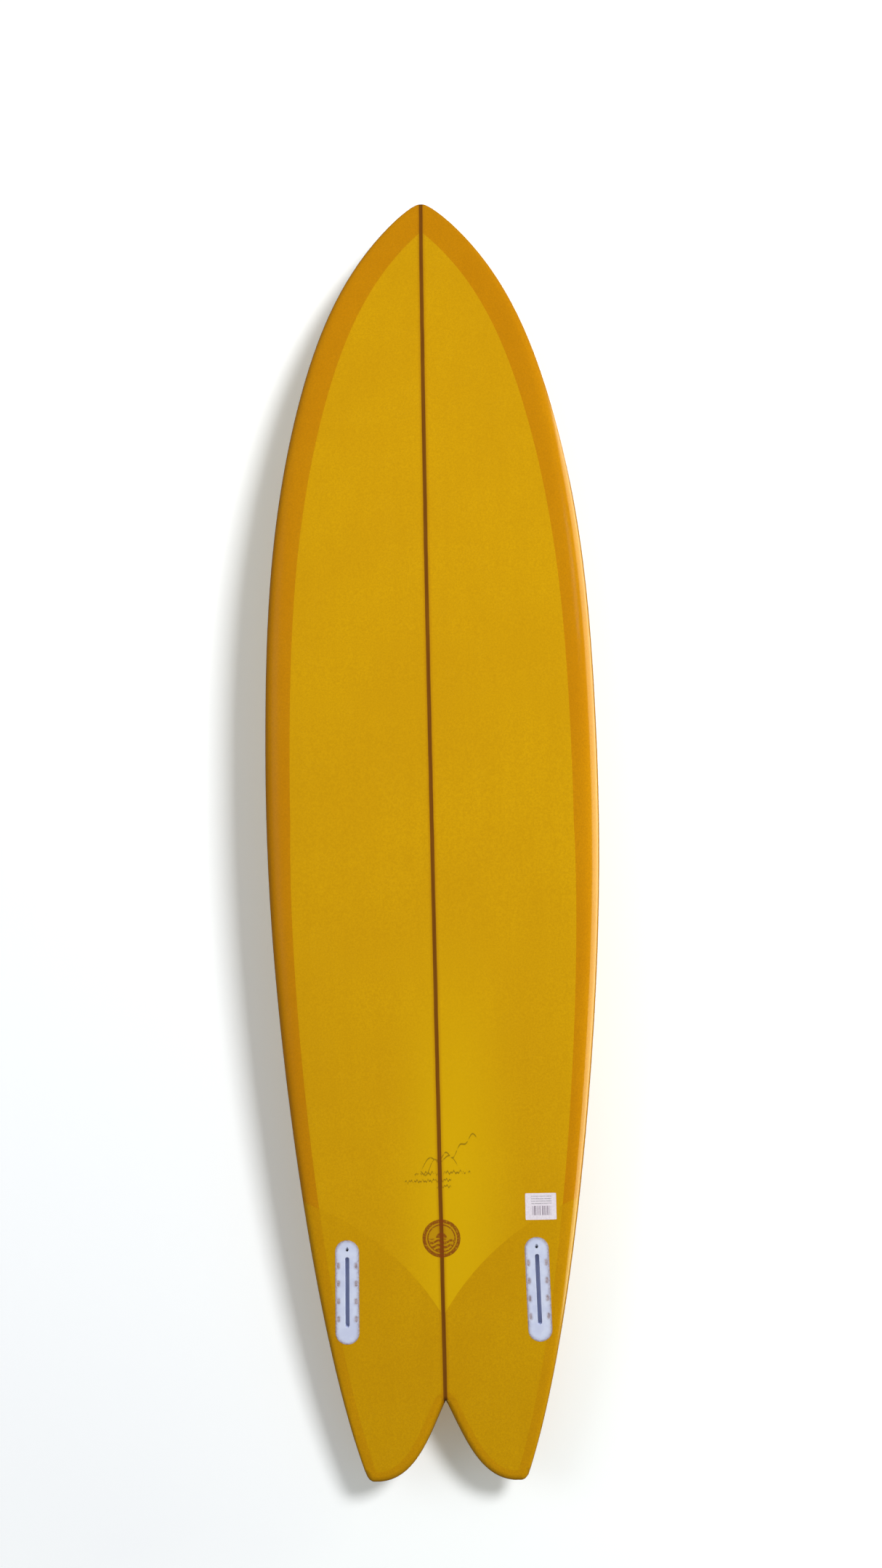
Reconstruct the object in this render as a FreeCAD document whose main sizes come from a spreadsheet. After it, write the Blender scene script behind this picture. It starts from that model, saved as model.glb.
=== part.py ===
"""Twin-fin surfboard with a swallow tail, built up the way a glassed foam board is.

Frame, in millimetres: +Z runs from tail to nose, +X is to the right when the
bottom is looked at, and the bottom faces -Y, so the deck faces +Y. The origin is
on the deck, on the centre line, halfway between the nose and the tail tips.
"""
import FreeCAD, Part
import Sketcher
import math
import os
from FreeCAD import Placement, Rotation, Vector

doc = FreeCAD.newDocument("Surfboard")

# ---------------------------------------------------------------- driving sizes
SIZES = [
    ("length", 2134, "nose tip to tail tips"),
    ("width", 546, "widest point, rail to rail"),
    ("thickness", 70, "thickest point, on the centre line"),
    ("thick_point", 40, "thickest point, ahead of half length"),
    ("nose_thickness", 13, "centre line thickness close to the nose"),
    ("tail_thickness", 24, "centre line thickness at the tail tips"),
    ("nose_rocker", 120, "bottom of the nose above the bottom at half length"),
    ("tail_rocker", 50, "bottom of the tail above the bottom at half length"),
    ("swallow_depth", 131, "crack of the swallow tail above the tips"),
    ("tip_land", 18, "straight end of each tail tip"),
    ("tip_corner", 9, "rounding of each tail tip's outer corner"),
    ("glass_layer", 0.6, "one laminate or coat of glass and resin"),
    ("lap_nose", 48, "deck glass lapped onto the bottom, at the nose"),
    ("lap_mid", 42, "the same at half length"),
    ("lap_tail", 18, "the same at the tail"),
    ("deck_lap", 50, "bottom glass lapped onto the deck"),
    ("patch_reach", 271, "front of the tail patches on the centre line, above the tips"),
    ("patch_radius", 428, "radius of the tail patches' front edges"),
    ("patch_angle", 60, "front edges' angle to the X axis at the centre line"),
    ("stringer_width", 6.35, "wooden stringer"),
    ("glue_gap", 0.3, "glue line on each side of the stringer"),
    ("glue_scrape", 0.05, "glue line's edge, scraped down under the shaped foam"),
    ("fin_offset", 155, "fin box centre from the centre line"),
    ("fin_height", 312, "fin box centre above the tail tips"),
    ("fin_toe", 1.2, "toe-in of each fin box, in degrees"),
    ("flange_length", 168, "fin box flange"),
    ("flange_width", 37, "fin box flange"),
    ("flange_thickness", 3, "fin box flange"),
    ("box_length", 152, "fin box body under its flange"),
    ("box_width", 17, "fin box body under its flange"),
    ("box_depth", 21, "fin box, from the flange's face to the underside"),
    ("slot_length", 114.3, "fin slot, the standard 4.5 inches"),
    ("slot_width", 6.6, "fin slot"),
    ("slot_depth", 18.5, "fin slot"),
    ("key_length", 9, "resin key hole in the flange"),
    ("key_width", 4, "resin key hole in the flange"),
    ("key_pitch", 29, "between resin key holes"),
    ("key_edge", 3.8, "middle of a key hole to the flange's edge"),
    ("resin_gap", 1, "resin bed round a fin box or leash plug"),
    ("screw_ahead", 13, "mouth of the screw hole, ahead of the slot"),
    ("screw_slant", 45, "screw hole's angle to the flange's face"),
    ("screw_radius", 2.45, "fin screw, over its thread"),
    ("screw_length", 10, "fin screw"),
    ("screw_clearance", 0.05, "fin screw to its hole, on the radius"),
    ("screw_sink", 3, "screw's outer end along the hole, from its mouth"),
    ("hex_across", 2.5, "hexagon socket, across flats"),
    ("hex_depth", 3, "hexagon socket"),
    ("plug_offset", 38, "leash plug from the centre line"),
    ("plug_ahead", 95, "leash plug ahead of the crack"),
    ("plug_radius", 14.25, "leash cup's body"),
    ("plug_flange", 17, "leash cup's flange radius"),
    ("plug_rim", 2.5, "leash cup's flange thickness"),
    ("plug_depth", 20, "leash cup, from its rim to its underside"),
    ("cup_radius", 11.5, "hollow of the leash cup"),
    ("cup_depth", 16.5, "hollow of the leash cup"),
    ("bar_radius", 2.4, "leash bar"),
    ("bar_depth", 5, "leash bar's axis under the rim"),
    ("bar_seat", 1.5, "leash bar's end inside the cup's wall"),
    ("bar_clearance", 0.05, "leash bar to its seat"),
    ("label_width", 50, "price label, across the board"),
    ("label_height", 43, "price label, along the board"),
    ("label_thickness", 0.2, "price label"),
    ("label_offset", 162, "price label's middle from the centre line"),
    ("label_ahead", 134, "price label's middle ahead of the fin box centre"),
    ("decal_radius", 33, "maker's decal"),
    ("decal_above", 397, "maker's decal above the tail tips"),
    ("decal_thickness", 0.15, "maker's decal, printed tissue"),
]

sheet = doc.addObject("Spreadsheet::Sheet", "Sizes")
for row, (alias, value, note) in enumerate(SIZES, start=1):
    sheet.set(f"A{row}", note)
    sheet.set(f"B{row}", str(value))
    sheet.setAlias(f"B{row}", alias)
doc.recompute()


def size(alias):
    """A driving size as a plain number."""
    return float(sheet.get(alias))


HALF = size("length") / 2
REACH = size("width") + size("length")  # longer than any cut needs to be

# ------------------------------------------------------------- shape of the hull
# Plan outline, nose to tail: control points as shares of half width and half length
OUTLINE = [
    (0.009, 1.0),
    (0.050, 1.0),
    (0.291, 0.948),
    (0.669, 0.790),
    (0.946, 0.484),
    (1.010, 0.163),
    (1.000, -0.288),
    (0.667, -0.893),
    (0.407, -1.040),
]
NOSE_CURVE = 2.6  # power of the rocker and of the foil towards each end
TAIL_CURVE = 2.2
FOIL_NOSE = 2.2
FOIL_TAIL = 2.6
NOSE_ROUND = 5.0  # half width over which the nose loses its thickness
STATIONS = 22  # sections along the hull
CROWDING = 1.6  # how much closer the sections stand at the nose than at the tail


def even_knots(count):
    """Knots and multiplicities of an open, evenly knotted cubic with this many poles."""
    spans = count - 3
    return [i / spans for i in range(spans + 1)], [4] + [1] * (spans - 1) + [4]


def cubic(points):
    """An open, evenly knotted cubic B-spline with these control points."""
    knots, mults = even_knots(len(points))
    curve = Part.BSplineCurve()
    curve.buildFromPolesMultsKnots(points, mults, knots, False, 3)
    return curve


OUTLINE_CURVE = cubic([Vector(a * size("width") / 2, 0, b * HALF) for a, b in OUTLINE])


def outline(share, inset=0.0):
    """A point of the plan outline, moved inwards by inset, from nose (0) to tail (1)."""
    along = OUTLINE_CURVE.tangent(share)[0]
    return OUTLINE_CURVE.value(share) - Vector(-along.z, 0, along.x) * inset


def outline_share(height):
    """Where along the outline the board is at this height above half length."""
    low, high = 0.0, 1.0
    for _ in range(50):
        middle = (low + high) / 2
        if OUTLINE_CURVE.value(middle).z > height:
            low = middle
        else:
            high = middle
    return low


def bottom(z):
    """Height of the bottom on the centre line: flat in the middle, rising to both ends."""
    if z > 0:
        lift = size("nose_rocker") * (z / HALF) ** NOSE_CURVE
    else:
        lift = size("tail_rocker") * (-z / HALF) ** TAIL_CURVE
    return lift - size("thickness")


def thick(z):
    """Thickness on the centre line."""
    if z > size("thick_point"):
        end, power = size("nose_thickness"), FOIL_NOSE
        away = (z - size("thick_point")) / (HALF - size("thick_point"))
    else:
        end, power = size("tail_thickness"), FOIL_TAIL
        away = (size("thick_point") - z) / (HALF + size("thick_point"))
    return end + (size("thickness") - end) * (1 - away**power)


def slope(height_of, z):
    """Rise of a profile per millimetre towards the nose."""
    return (height_of(z + 1) - height_of(z - 1)) / 2


def section(share, inset):
    """Control points round the right half of a cross section lying inset under the skin."""
    edge = outline(share, inset)
    wide, z = edge.x, edge.z
    full = thick(z) * (1 - math.exp(-wide / NOSE_ROUND))
    low = bottom(z) + (thick(z) - full) / 2 + inset
    deep = full - 2 * inset
    rail = deep * wide / (wide + deep / 2)
    flat = wide - 0.75 * rail
    hard = min(1.0, max(0.0, -z / HALF)) ** 2
    right = [
        (0.0, 0.0),
        (0.40 * flat, 0.0),
        (0.75 * flat, 0.0),
        (flat, 0.0),
        (wide - (0.30 - 0.12 * hard) * rail, 0.015 * deep),
        (wide - 0.08 * rail, (0.13 - 0.06 * hard) * deep),
        (wide + 0.04 * rail, 0.37 * deep),
        (wide - 0.08 * rail, 0.63 * deep),
        (wide - 0.45 * rail, 0.85 * deep),
        (0.72 * flat, 0.975 * deep),
        (0.38 * flat, deep),
        (0.0, deep),
    ]
    return [Vector(x, low + y, z) for x, y in right]


def mirrored(shape):
    """The same shape on the other side of the centre line."""
    return shape.mirror(Vector(0, 0, 0), Vector(1, 0, 0))


def flat_rims(face):
    """The edges of a half skin that lie square to Z: the nose's first, then the tail's."""
    rims = [edge for edge in face.Edges if edge.BoundBox.ZLength < 1e-6]
    return sorted(rims, key=lambda edge: -edge.BoundBox.ZMax)


def hull(inset):
    """The whole hull as a solid, this far under the outer skin, running on past the tips."""
    shares = [(i / STATIONS) ** CROWDING for i in range(STATIONS + 1)]
    tracks = []
    for column in zip(*[section(share, inset) for share in shares]):
        track = Part.BSplineCurve()
        track.interpolate(Points=list(column), Parameters=shares)
        tracks.append(track)
    poles = [track.getPoles() for track in tracks]
    knots, mults = even_knots(len(tracks))
    surface = Part.BSplineSurface()
    along = tracks[0]
    surface.buildFromPolesMultsKnots(
        poles, mults, along.getMultiplicities(), knots, along.getKnots(), False, False, 3, 3
    )
    right = surface.toShape()
    faces = [right, mirrored(right)]
    for rims in zip(flat_rims(faces[0]), flat_rims(faces[1])):
        faces.append(Part.Face(Part.Wire(list(rims))))
    shell = Part.Shell(faces)
    shell.sewShape()
    solid = Part.Solid(shell)
    if solid.Volume < 0:
        solid.reverse()
    return solid


# ------------------------------------------------------------ plan-view outlines
def spline(points):
    """An edge through these points."""
    curve = Part.BSplineCurve()
    curve.interpolate(points)
    return curve.toShape()


def prism(edges):
    """A solid right through the board over a closed plan outline."""
    wire = Part.Wire(Part.__sortEdges__(edges))
    face = Part.Face(wire)
    face.translate(Vector(0, -REACH / 2, 0))
    return face.extrude(Vector(0, REACH, 0))


def line(*points):
    """Straight edges from point to point, each given as (x, z)."""
    ends = [Vector(x, 0, z) for x, z in points]
    return [Part.LineSegment(a, b).toShape() for a, b in zip(ends, ends[1:])]


def swallow_points(inset):
    """Right half of the swallow curve, from the crack to the tip, moved into the board."""
    depth = size("swallow_depth")
    tip = outline(outline_share(-HALF)).x - size("tip_land")
    corners = [(0, depth), (0.25 * tip, 0.57 * depth), (0.46 * tip, 0.03 * depth), (tip, 0)]
    curve = Part.BezierCurve()
    curve.setPoles([Vector(x, 0, z - HALF) for x, z in corners])
    start = curve.tangent(0)[0]
    points = [curve.value(0) + Vector(0, 0, inset / start.x)]
    steps = 10
    for i in range(1, steps + 1):
        along = curve.tangent(i / steps)[0]
        points.append(curve.value(i / steps) + Vector(-along.z, 0, along.x) * inset)
    return points


def tail_cut(inset):
    """Everything past the tail: the swallow, the tips' ends and their outer corners."""
    points = swallow_points(inset)
    low = inset - HALF
    rail = outline(outline_share(-HALF), inset)
    corner = size("tip_corner")
    ahead = outline(outline_share(low + corner), inset)
    turn = Part.BezierCurve()
    turn.setPoles(
        [
            Vector(rail.x - corner, 0, low),
            Vector(rail.x, 0, low),
            Vector(ahead.x + corner / 4, 0, low + corner * 1.5),
        ]
    )
    end = turn.value(1)
    half = [spline(points), turn.toShape()]
    half += line((points[-1].x, points[-1].z), (turn.value(0).x, low))
    half += line((end.x, end.z), (REACH, end.z), (REACH, -REACH))
    other = [mirrored(edge) for edge in half]
    return prism(half + other + line((REACH, -REACH), (-REACH, -REACH)))


def inner_line(inset_at, height, stop):
    """Right half of a line that keeps a set distance inside the outline, nose to tail."""
    points = []
    fine = 200
    for i in range(2, fine):
        share = i / fine
        point = outline(share, inset_at(OUTLINE_CURVE.value(share).z))
        if point.x > 0 and point.z < height and point.z > stop:
            points.append(point)
    first, second = points[0], points[1]
    run = first.x / (second.x - first.x)
    peak = Vector(0, 0, first.z + (first.z - second.z) * run)
    return [peak] + points[::8] + points[-1:]


def lap(z):
    """Width of the deck glass lapped onto the bottom."""
    if z > 0:
        return size("lap_mid") + (size("lap_nose") - size("lap_mid")) * z / HALF
    return size("lap_mid") + (size("lap_tail") - size("lap_mid")) * min(1.0, -z / HALF) ** 0.8


def bottom_window():
    """Plan area of the bottom that the deck glass leaves bare."""
    tail = swallow_points(size("lap_tail"))
    stop = tail[-1].z
    side = inner_line(lap, HALF, stop)
    half = [spline(side), spline(tail)]
    half += line((side[-1].x, side[-1].z), (tail[-1].x, tail[-1].z))
    return prism(half + [mirrored(edge) for edge in half])


def deck_window():
    """Plan area of the deck that the bottom glass leaves bare."""
    stop = size("swallow_depth") + size("deck_lap") - HALF
    side = inner_line(lambda z: size("deck_lap"), HALF, stop)
    end = side[-1]
    half = [spline(side)]
    return prism(half + [mirrored(edge) for edge in half] + line((-end.x, end.z), (end.x, end.z)))


def lower_half():
    """Everything on the bottom's side of the hull's middle surface."""
    steps = 24
    heights = [(1.2 - 2.4 * i / steps) * HALF for i in range(steps + 1)]
    middle = []
    for z in heights:
        near = max(-HALF, min(HALF, z))
        rise = slope(bottom, near * 0.999) + slope(thick, near * 0.999) / 2
        level = bottom(near) + thick(near) / 2 + rise * (z - near)
        middle.append(Vector(-REACH, level, z))
    back = [Vector(-REACH, -REACH, heights[-1]), Vector(-REACH, -REACH, heights[0])]
    edges = [spline(middle)]
    for a, b in zip([middle[-1]] + back, back + [middle[0]]):
        edges.append(Part.LineSegment(a, b).toShape())
    face = Part.Face(Part.Wire(Part.__sortEdges__(edges)))
    return face.extrude(Vector(2 * REACH, 0, 0))


def patch_area():
    """Plan area behind the right tail patch's arched front edge."""
    radius, angle = size("patch_radius"), math.radians(size("patch_angle"))
    start = size("patch_reach") - HALF
    centre = Vector(radius * math.sin(angle), 0, start - radius * math.cos(angle))
    left = math.pi / 2 + angle
    arc_points = []
    for turn in (left, (left + math.pi / 2) / 2, math.pi / 2):
        arc_points.append(centre + Vector(math.cos(turn), 0, math.sin(turn)) * radius)
    top = arc_points[-1]
    arc = Part.Arc(*arc_points).toShape()
    rest = line((top.x, top.z), (REACH, top.z), (REACH, -REACH), (0, -REACH), (0, start))
    return prism([arc] + rest)


# --------------------------------------------------------- document object helpers
def solid_feature(name, shape):
    """A document object that holds a shape worked out from the sheet."""
    feature = doc.addObject("Part::Feature", name)
    feature.Shape = shape
    feature.Placement = Placement()
    return feature


def combine(kind, name, base, tool):
    """A Part boolean of two document objects: Cut, Common or Fuse."""
    result = doc.addObject(f"Part::{kind}", name)
    result.Base = base
    result.Tool = tool
    result.Label = name
    return result


def cut_all(name, base, tools):
    """Cut several tools out of one object, the last cut getting the name."""
    for number, tool in enumerate(tools[:-1], start=1):
        base = combine("Cut", f"{name}_cut_{number}", base, tool)
    return combine("Cut", name, base, tools[-1])


def worked_out(formula):
    """The value of a formula in the sheet's sizes."""
    return float(sheet.evalExpression(formula))


def bind(item, **formulas):
    """Tie an object's properties to formulas in the sheet's sizes."""
    for name, formula in formulas.items():
        item.setExpression(name, formula)


def box(name, width, depth, height, x, y, z):
    """A Part::Box whose sizes and corner are formulas."""
    item = doc.addObject("Part::Box", name)
    bind(item, Length=width, Width=depth, Height=height)
    item.setExpression("Placement.Base.x", x)
    item.setExpression("Placement.Base.y", y)
    item.setExpression("Placement.Base.z", z)
    return item


def body_sketch(body, name, plane="XY_Plane", raised=None):
    """A sketch on one of the body's own planes, lifted by a formula if one is given."""
    sketch = body.newObject("Sketcher::SketchObject", name)
    for feature in body.Origin.OriginFeatures:
        if feature.Role == plane:
            sketch.AttachmentSupport = [(feature, "")]
    sketch.MapMode = "FlatFace"
    if raised:
        sketch.setExpression("AttachmentOffset.Base.z", raised)
    return sketch


def dimension(sketch, name, constraint, formula):
    """A named sketch dimension that follows a formula."""
    index = sketch.addConstraint(constraint)
    sketch.renameConstraint(index, name)
    sketch.setExpression(f"Constraints.{name}", formula)


def stadium(sketch, run, radius, x="0", y="0"):
    """A round-ended outline along the sketch's Y axis, with its middle at x, y: all formulas."""
    top = f"{y} + ({run}) / 2"
    centre_x, centre_y, reach = worked_out(x), worked_out(top), worked_out(radius)
    up = Vector(centre_x, centre_y, 0)
    down = up - Vector(0, worked_out(run), 0)
    side = Vector(reach, 0, 0)
    first = sketch.addGeometry(Part.LineSegment(down + side, up + side), False)
    circles = [Part.Circle(middle, Vector(0, 0, 1), reach) for middle in (up, down)]
    sketch.addGeometry(Part.ArcOfCircle(circles[0], 0, math.pi), False)
    sketch.addGeometry(Part.LineSegment(up - side, down - side), False)
    sketch.addGeometry(Part.ArcOfCircle(circles[1], math.pi, 2 * math.pi), False)
    right, over, left, under = first, first + 1, first + 2, first + 3
    for a, b in ((right, over), (over, left), (left, under), (under, right)):
        sketch.addConstraint(Sketcher.Constraint("Tangent", a, 2, b, 1))
    sketch.addConstraint(Sketcher.Constraint("Vertical", right))
    rule = Sketcher.Constraint("DistanceY", under, 3, over, 3, worked_out(run))
    dimension(sketch, f"run{first}", rule, run)
    dimension(sketch, f"radius{first}", Sketcher.Constraint("Radius", over, reach), radius)
    rule = Sketcher.Constraint("DistanceY", -1, 1, over, 3, centre_y)
    dimension(sketch, f"top{first}", rule, top)
    if x == "0":
        sketch.addConstraint(Sketcher.Constraint("PointOnObject", over, 3, -2))
    else:
        rule = Sketcher.Constraint("DistanceX", -1, 1, over, 3, centre_x)
        dimension(sketch, f"across{first}", rule, x)


def pad(body, name, sketch, length, back=True):
    """A pad of a sketch, downwards if back is set."""
    feature = body.newObject("PartDesign::Pad", name)
    feature.Profile = sketch
    feature.Reversed = back
    feature.setExpression("Length", length)
    return feature


def pocket(body, name, sketch, length):
    """A pocket of a sketch, down into the body."""
    feature = body.newObject("PartDesign::Pocket", name)
    feature.Profile = sketch
    feature.setExpression("Length", length)
    return feature


# ------------------------------------------------------------------ hull and core
GLASS = size("glass_layer")
skin_depths = {
    "label_hull": -size("label_thickness"),
    "outer_hull": 0.0,
    "decal_hull": GLASS - size("decal_thickness"),
    "middle_hull": GLASS,
    "foam_hull": 2 * GLASS,
    "glue_hull": 2 * GLASS + size("glue_scrape"),
}
hulls = {}
for name, inset in skin_depths.items():
    full = solid_feature(f"{name}_full", hull(inset))
    end = solid_feature(f"{name}_tail", tail_cut(inset))
    hulls[name] = combine("Cut", name, full, end)
doc.recompute()

# ------------------------------------------------------------------ fin box pieces
FIN_Z = size("fin_height") - HALF
fin_tilt = -math.degrees(math.atan(slope(bottom, FIN_Z)))
SIDES = (("left", -1), ("right", 1))


def fin_place(side):
    """Fin box frame: X across the slot, Y towards the nose, Z out of the bottom."""
    where = Vector(side * size("fin_offset"), bottom(FIN_Z), FIN_Z)
    lie = Rotation(Vector(1, 0, 0), 90 + fin_tilt)
    toe = Rotation(Vector(0, 0, 1), side * size("fin_toe"))
    return Placement(where, lie.multiply(toe))


def screw_place(side, along_hole):
    """Screw frame: Z out of the hole, origin this far down the hole from its mouth."""
    mouth = Vector(0, size("slot_length") / 2 + size("screw_ahead"), 0)
    lean = Rotation(Vector(1, 0, 0), size("screw_slant") - 90)
    inwards = lean.multVec(Vector(0, 0, -1)) * along_hole
    return fin_place(side).multiply(Placement(mouth + inwards, lean))


def fin_rout(name, side, grow, above):
    """The stepped, round-ended hole that a fin box sits in, or with no growth its outside."""
    body = doc.addObject("PartDesign::Body", name)
    wide = body_sketch(body, f"{name}_flange_outline", raised=above)
    run = "Sizes.flange_length - Sizes.flange_width"
    stadium(wide, run, f"Sizes.flange_width / 2 + {grow}")
    pad(body, f"{name}_flange", wide, f"{above} + Sizes.flange_thickness + {grow}")
    deep = body_sketch(body, f"{name}_body_outline")
    stadium(deep, "Sizes.box_length - Sizes.box_width", f"Sizes.box_width / 2 + {grow}")
    pad(body, f"{name}_body", deep, f"Sizes.box_depth + {grow}")
    body.Placement = fin_place(side)
    return body


def fin_box_blank(name, side):
    """Fin box before its slot and screw hole are made: flange, body and resin key holes."""
    body = fin_rout(name, side, "0", "0")
    keys = body_sketch(body, f"{name}_key_outline")
    across = "Sizes.flange_width / 2 - Sizes.key_edge"
    for number in (-1.5, -0.5, 0.5, 1.5):
        run, radius = "Sizes.key_length - Sizes.key_width", "Sizes.key_width / 2"
        stadium(keys, run, radius, x=across, y=f"{number} * Sizes.key_pitch")
    holes = pocket(body, f"{name}_keys", keys, "Sizes.flange_thickness")
    other_side = body.newObject("PartDesign::Mirrored", f"{name}_keys_mirrored")
    other_side.Originals = [holes]
    for feature in body.Origin.OriginFeatures:
        if feature.Role == "YZ_Plane":
            other_side.MirrorPlane = (feature, [""])
    body.Tip = other_side
    return body


def slot_tool(name, side):
    """The hollow of the fin slot."""
    body = doc.addObject("PartDesign::Body", name)
    sketch = body_sketch(body, f"{name}_outline", raised="1")
    stadium(sketch, "Sizes.slot_length - Sizes.slot_width", "Sizes.slot_width / 2")
    pad(body, f"{name}_pad", sketch, "Sizes.slot_depth + 1")
    body.Placement = fin_place(side)
    return body


def screw_hole_tool(name, side):
    """The slanted hollow from the flange's face to the slot's front wall."""
    hole = doc.addObject("Part::Cylinder", name)
    hole.setExpression("Radius", "Sizes.screw_radius + Sizes.screw_clearance")
    reach = "Sizes.screw_ahead / cos(Sizes.screw_slant) + 2 * Sizes.screw_radius"
    hole.setExpression("Height", f"{reach} + 2 * Sizes.screw_sink")
    deepest = size("screw_ahead") / math.cos(math.radians(size("screw_slant")))
    hole.Placement = screw_place(side, deepest + 2 * size("screw_radius"))
    return hole


def screw(name, side):
    """Fin screw: a headless screw with a hexagon socket and chamfered ends."""
    body = doc.addObject("PartDesign::Body", name)
    shank = body_sketch(body, f"{name}_outline")
    shank.addGeometry(Part.Circle(Vector(0, 0, 0), Vector(0, 0, 1), size("screw_radius")), False)
    shank.addConstraint(Sketcher.Constraint("Coincident", 0, 3, -1, 1))
    rule = Sketcher.Constraint("Radius", 0, size("screw_radius"))
    dimension(shank, "radius", rule, "Sizes.screw_radius")
    rod = pad(body, f"{name}_shank", shank, "Sizes.screw_length")
    doc.recompute()
    rims = []
    for number, edge in enumerate(rod.Shape.Edges, start=1):
        if edge.Closed and edge.BoundBox.ZLength < 1e-6:
            rims.append(f"Edge{number}")
    ends = body.newObject("PartDesign::Chamfer", f"{name}_ends")
    ends.Base = (rod, rims)
    ends.setExpression("Size", "Sizes.screw_radius / 6")
    socket = body_sketch(body, f"{name}_socket_outline")
    across = size("hex_across") / math.sqrt(3)
    corners = []
    for i in range(6):
        turn = math.radians(60 * i)
        corners.append(Vector(across * math.cos(turn), across * math.sin(turn), 0))
    for i in range(6):
        socket.addGeometry(Part.LineSegment(corners[i], corners[(i + 1) % 6]), False)
    for i in range(6):
        socket.addConstraint(Sketcher.Constraint("Coincident", i, 2, (i + 1) % 6, 1))
    ring = socket.addGeometry(Part.Circle(Vector(0, 0, 0), Vector(0, 0, 1), across), True)
    socket.addConstraint(Sketcher.Constraint("Coincident", ring, 3, -1, 1))
    for i in range(6):
        socket.addConstraint(Sketcher.Constraint("PointOnObject", i, 1, ring))
    for i in range(5):
        socket.addConstraint(Sketcher.Constraint("Equal", i, i + 1))
    socket.addConstraint(Sketcher.Constraint("PointOnObject", 0, 1, -1))
    rule = Sketcher.Constraint("Radius", ring, across)
    dimension(socket, "corners", rule, "Sizes.hex_across / sqrt(3)")
    pocket(body, f"{name}_socket", socket, "Sizes.hex_depth")
    body.Placement = screw_place(side, size("screw_sink"))
    return body


parts = []
rout_cuts = []
for side_name, side in SIDES:
    blank = fin_box_blank(f"fin_box_blank_{side_name}", side)
    slot = slot_tool(f"fin_slot_{side_name}", side)
    hole = screw_hole_tool(f"screw_hole_{side_name}", side)
    parts.append(cut_all(f"fin_box_{side_name}", blank, [slot, hole]))
    bed = fin_rout(f"fin_bed_{side_name}", side, "Sizes.resin_gap", "0")
    parts.append(cut_all(f"fin_box_resin_{side_name}", bed, [blank, slot, hole]))
    rout_cuts.append(fin_rout(f"fin_rout_{side_name}", side, "Sizes.resin_gap", "5"))
    parts.append(screw(f"fin_screw_{side_name}", side))
doc.recompute()

# -------------------------------------------------------------------- leash plug
PLUG_Z = size("swallow_depth") + size("plug_ahead") - HALF


def deck(z):
    """Height of the deck on the centre line."""
    return bottom(z) + thick(z)


def plug_place():
    """Leash plug frame: Z out of the deck, X across the board."""
    lie = Rotation(Vector(1, 0, 0), -90 - math.degrees(math.atan(slope(deck, PLUG_Z))))
    return Placement(Vector(size("plug_offset"), deck(PLUG_Z), PLUG_Z), lie)


def turned(name, formulas):
    """A round piece about Z from a sketch of (radius, height) corner formulas."""
    body = doc.addObject("PartDesign::Body", name)
    sketch = body_sketch(body, f"{name}_profile", plane="XZ_Plane")
    values = []
    for radius, height in formulas:
        values.append((worked_out(radius), worked_out(height)))
    count = len(formulas)
    for i in range(count):
        a, b = values[i], values[(i + 1) % count]
        sketch.addGeometry(Part.LineSegment(Vector(*a, 0), Vector(*b, 0)), False)
    for i in range(count):
        sketch.addConstraint(Sketcher.Constraint("Coincident", i, 2, (i + 1) % count, 1))
    for i, (radius, height) in enumerate(formulas):
        if radius == "0":
            sketch.addConstraint(Sketcher.Constraint("PointOnObject", i, 1, -2))
        else:
            rule = Sketcher.Constraint("DistanceX", -1, 1, i, 1, values[i][0])
            dimension(sketch, f"radius{i}", rule, radius)
        if height == "0":
            sketch.addConstraint(Sketcher.Constraint("PointOnObject", i, 1, -1))
        else:
            rule = Sketcher.Constraint("DistanceY", -1, 1, i, 1, values[i][1])
            dimension(sketch, f"height{i}", rule, height)
    spin = body.newObject("PartDesign::Revolution", f"{name}_turned")
    spin.Profile = sketch
    spin.ReferenceAxis = (sketch, ["V_Axis"])
    spin.Angle = 360
    body.Placement = plug_place()
    return body


def plug_outside(name, grow, above):
    """The leash cup's outside, grown by a formula and standing above the deck by another."""
    rim, under = f"-Sizes.plug_rim - {grow}", f"-Sizes.plug_depth - {grow}"
    flange, wall = f"Sizes.plug_flange + {grow}", f"Sizes.plug_radius + {grow}"
    corners = [("0", above), (flange, above), (flange, rim), (wall, rim), (wall, under), ("0", under)]
    return turned(name, corners)


plug_solid = plug_outside("leash_plug_outside", "0", "0")
plug_bed = plug_outside("leash_plug_bed", "Sizes.resin_gap", "0")
plug_rout = plug_outside("leash_plug_rout", "Sizes.resin_gap", "5")
hollow = turned(
    "leash_cup_hollow",
    [("0", "1"), ("Sizes.cup_radius", "1"), ("Sizes.cup_radius", "-Sizes.cup_depth"), ("0", "-Sizes.cup_depth")],
)


def leash_bar(name, gap):
    """The bar across the cup, or with a gap the seat that it lies in."""
    bar = doc.addObject("Part::Cylinder", name)
    bar.setExpression("Radius", f"Sizes.bar_radius + {gap}")
    bar.setExpression("Height", f"2 * (Sizes.cup_radius + Sizes.bar_seat + {gap})")
    worth = size("bar_clearance") if gap != "0" else 0.0
    half = size("cup_radius") + size("bar_seat") + worth
    across = Placement(Vector(-half, 0, -size("bar_depth")), Rotation(Vector(0, 1, 0), 90))
    bar.Placement = plug_place().multiply(across)
    return bar


bar_seat = leash_bar("leash_bar_seat", "Sizes.bar_clearance")
parts.append(cut_all("leash_plug_cup", plug_solid, [hollow, bar_seat]))
parts.append(combine("Cut", "leash_plug_resin", plug_bed, plug_solid))
parts.append(leash_bar("leash_plug_bar", "0"))
doc.recompute()

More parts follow.
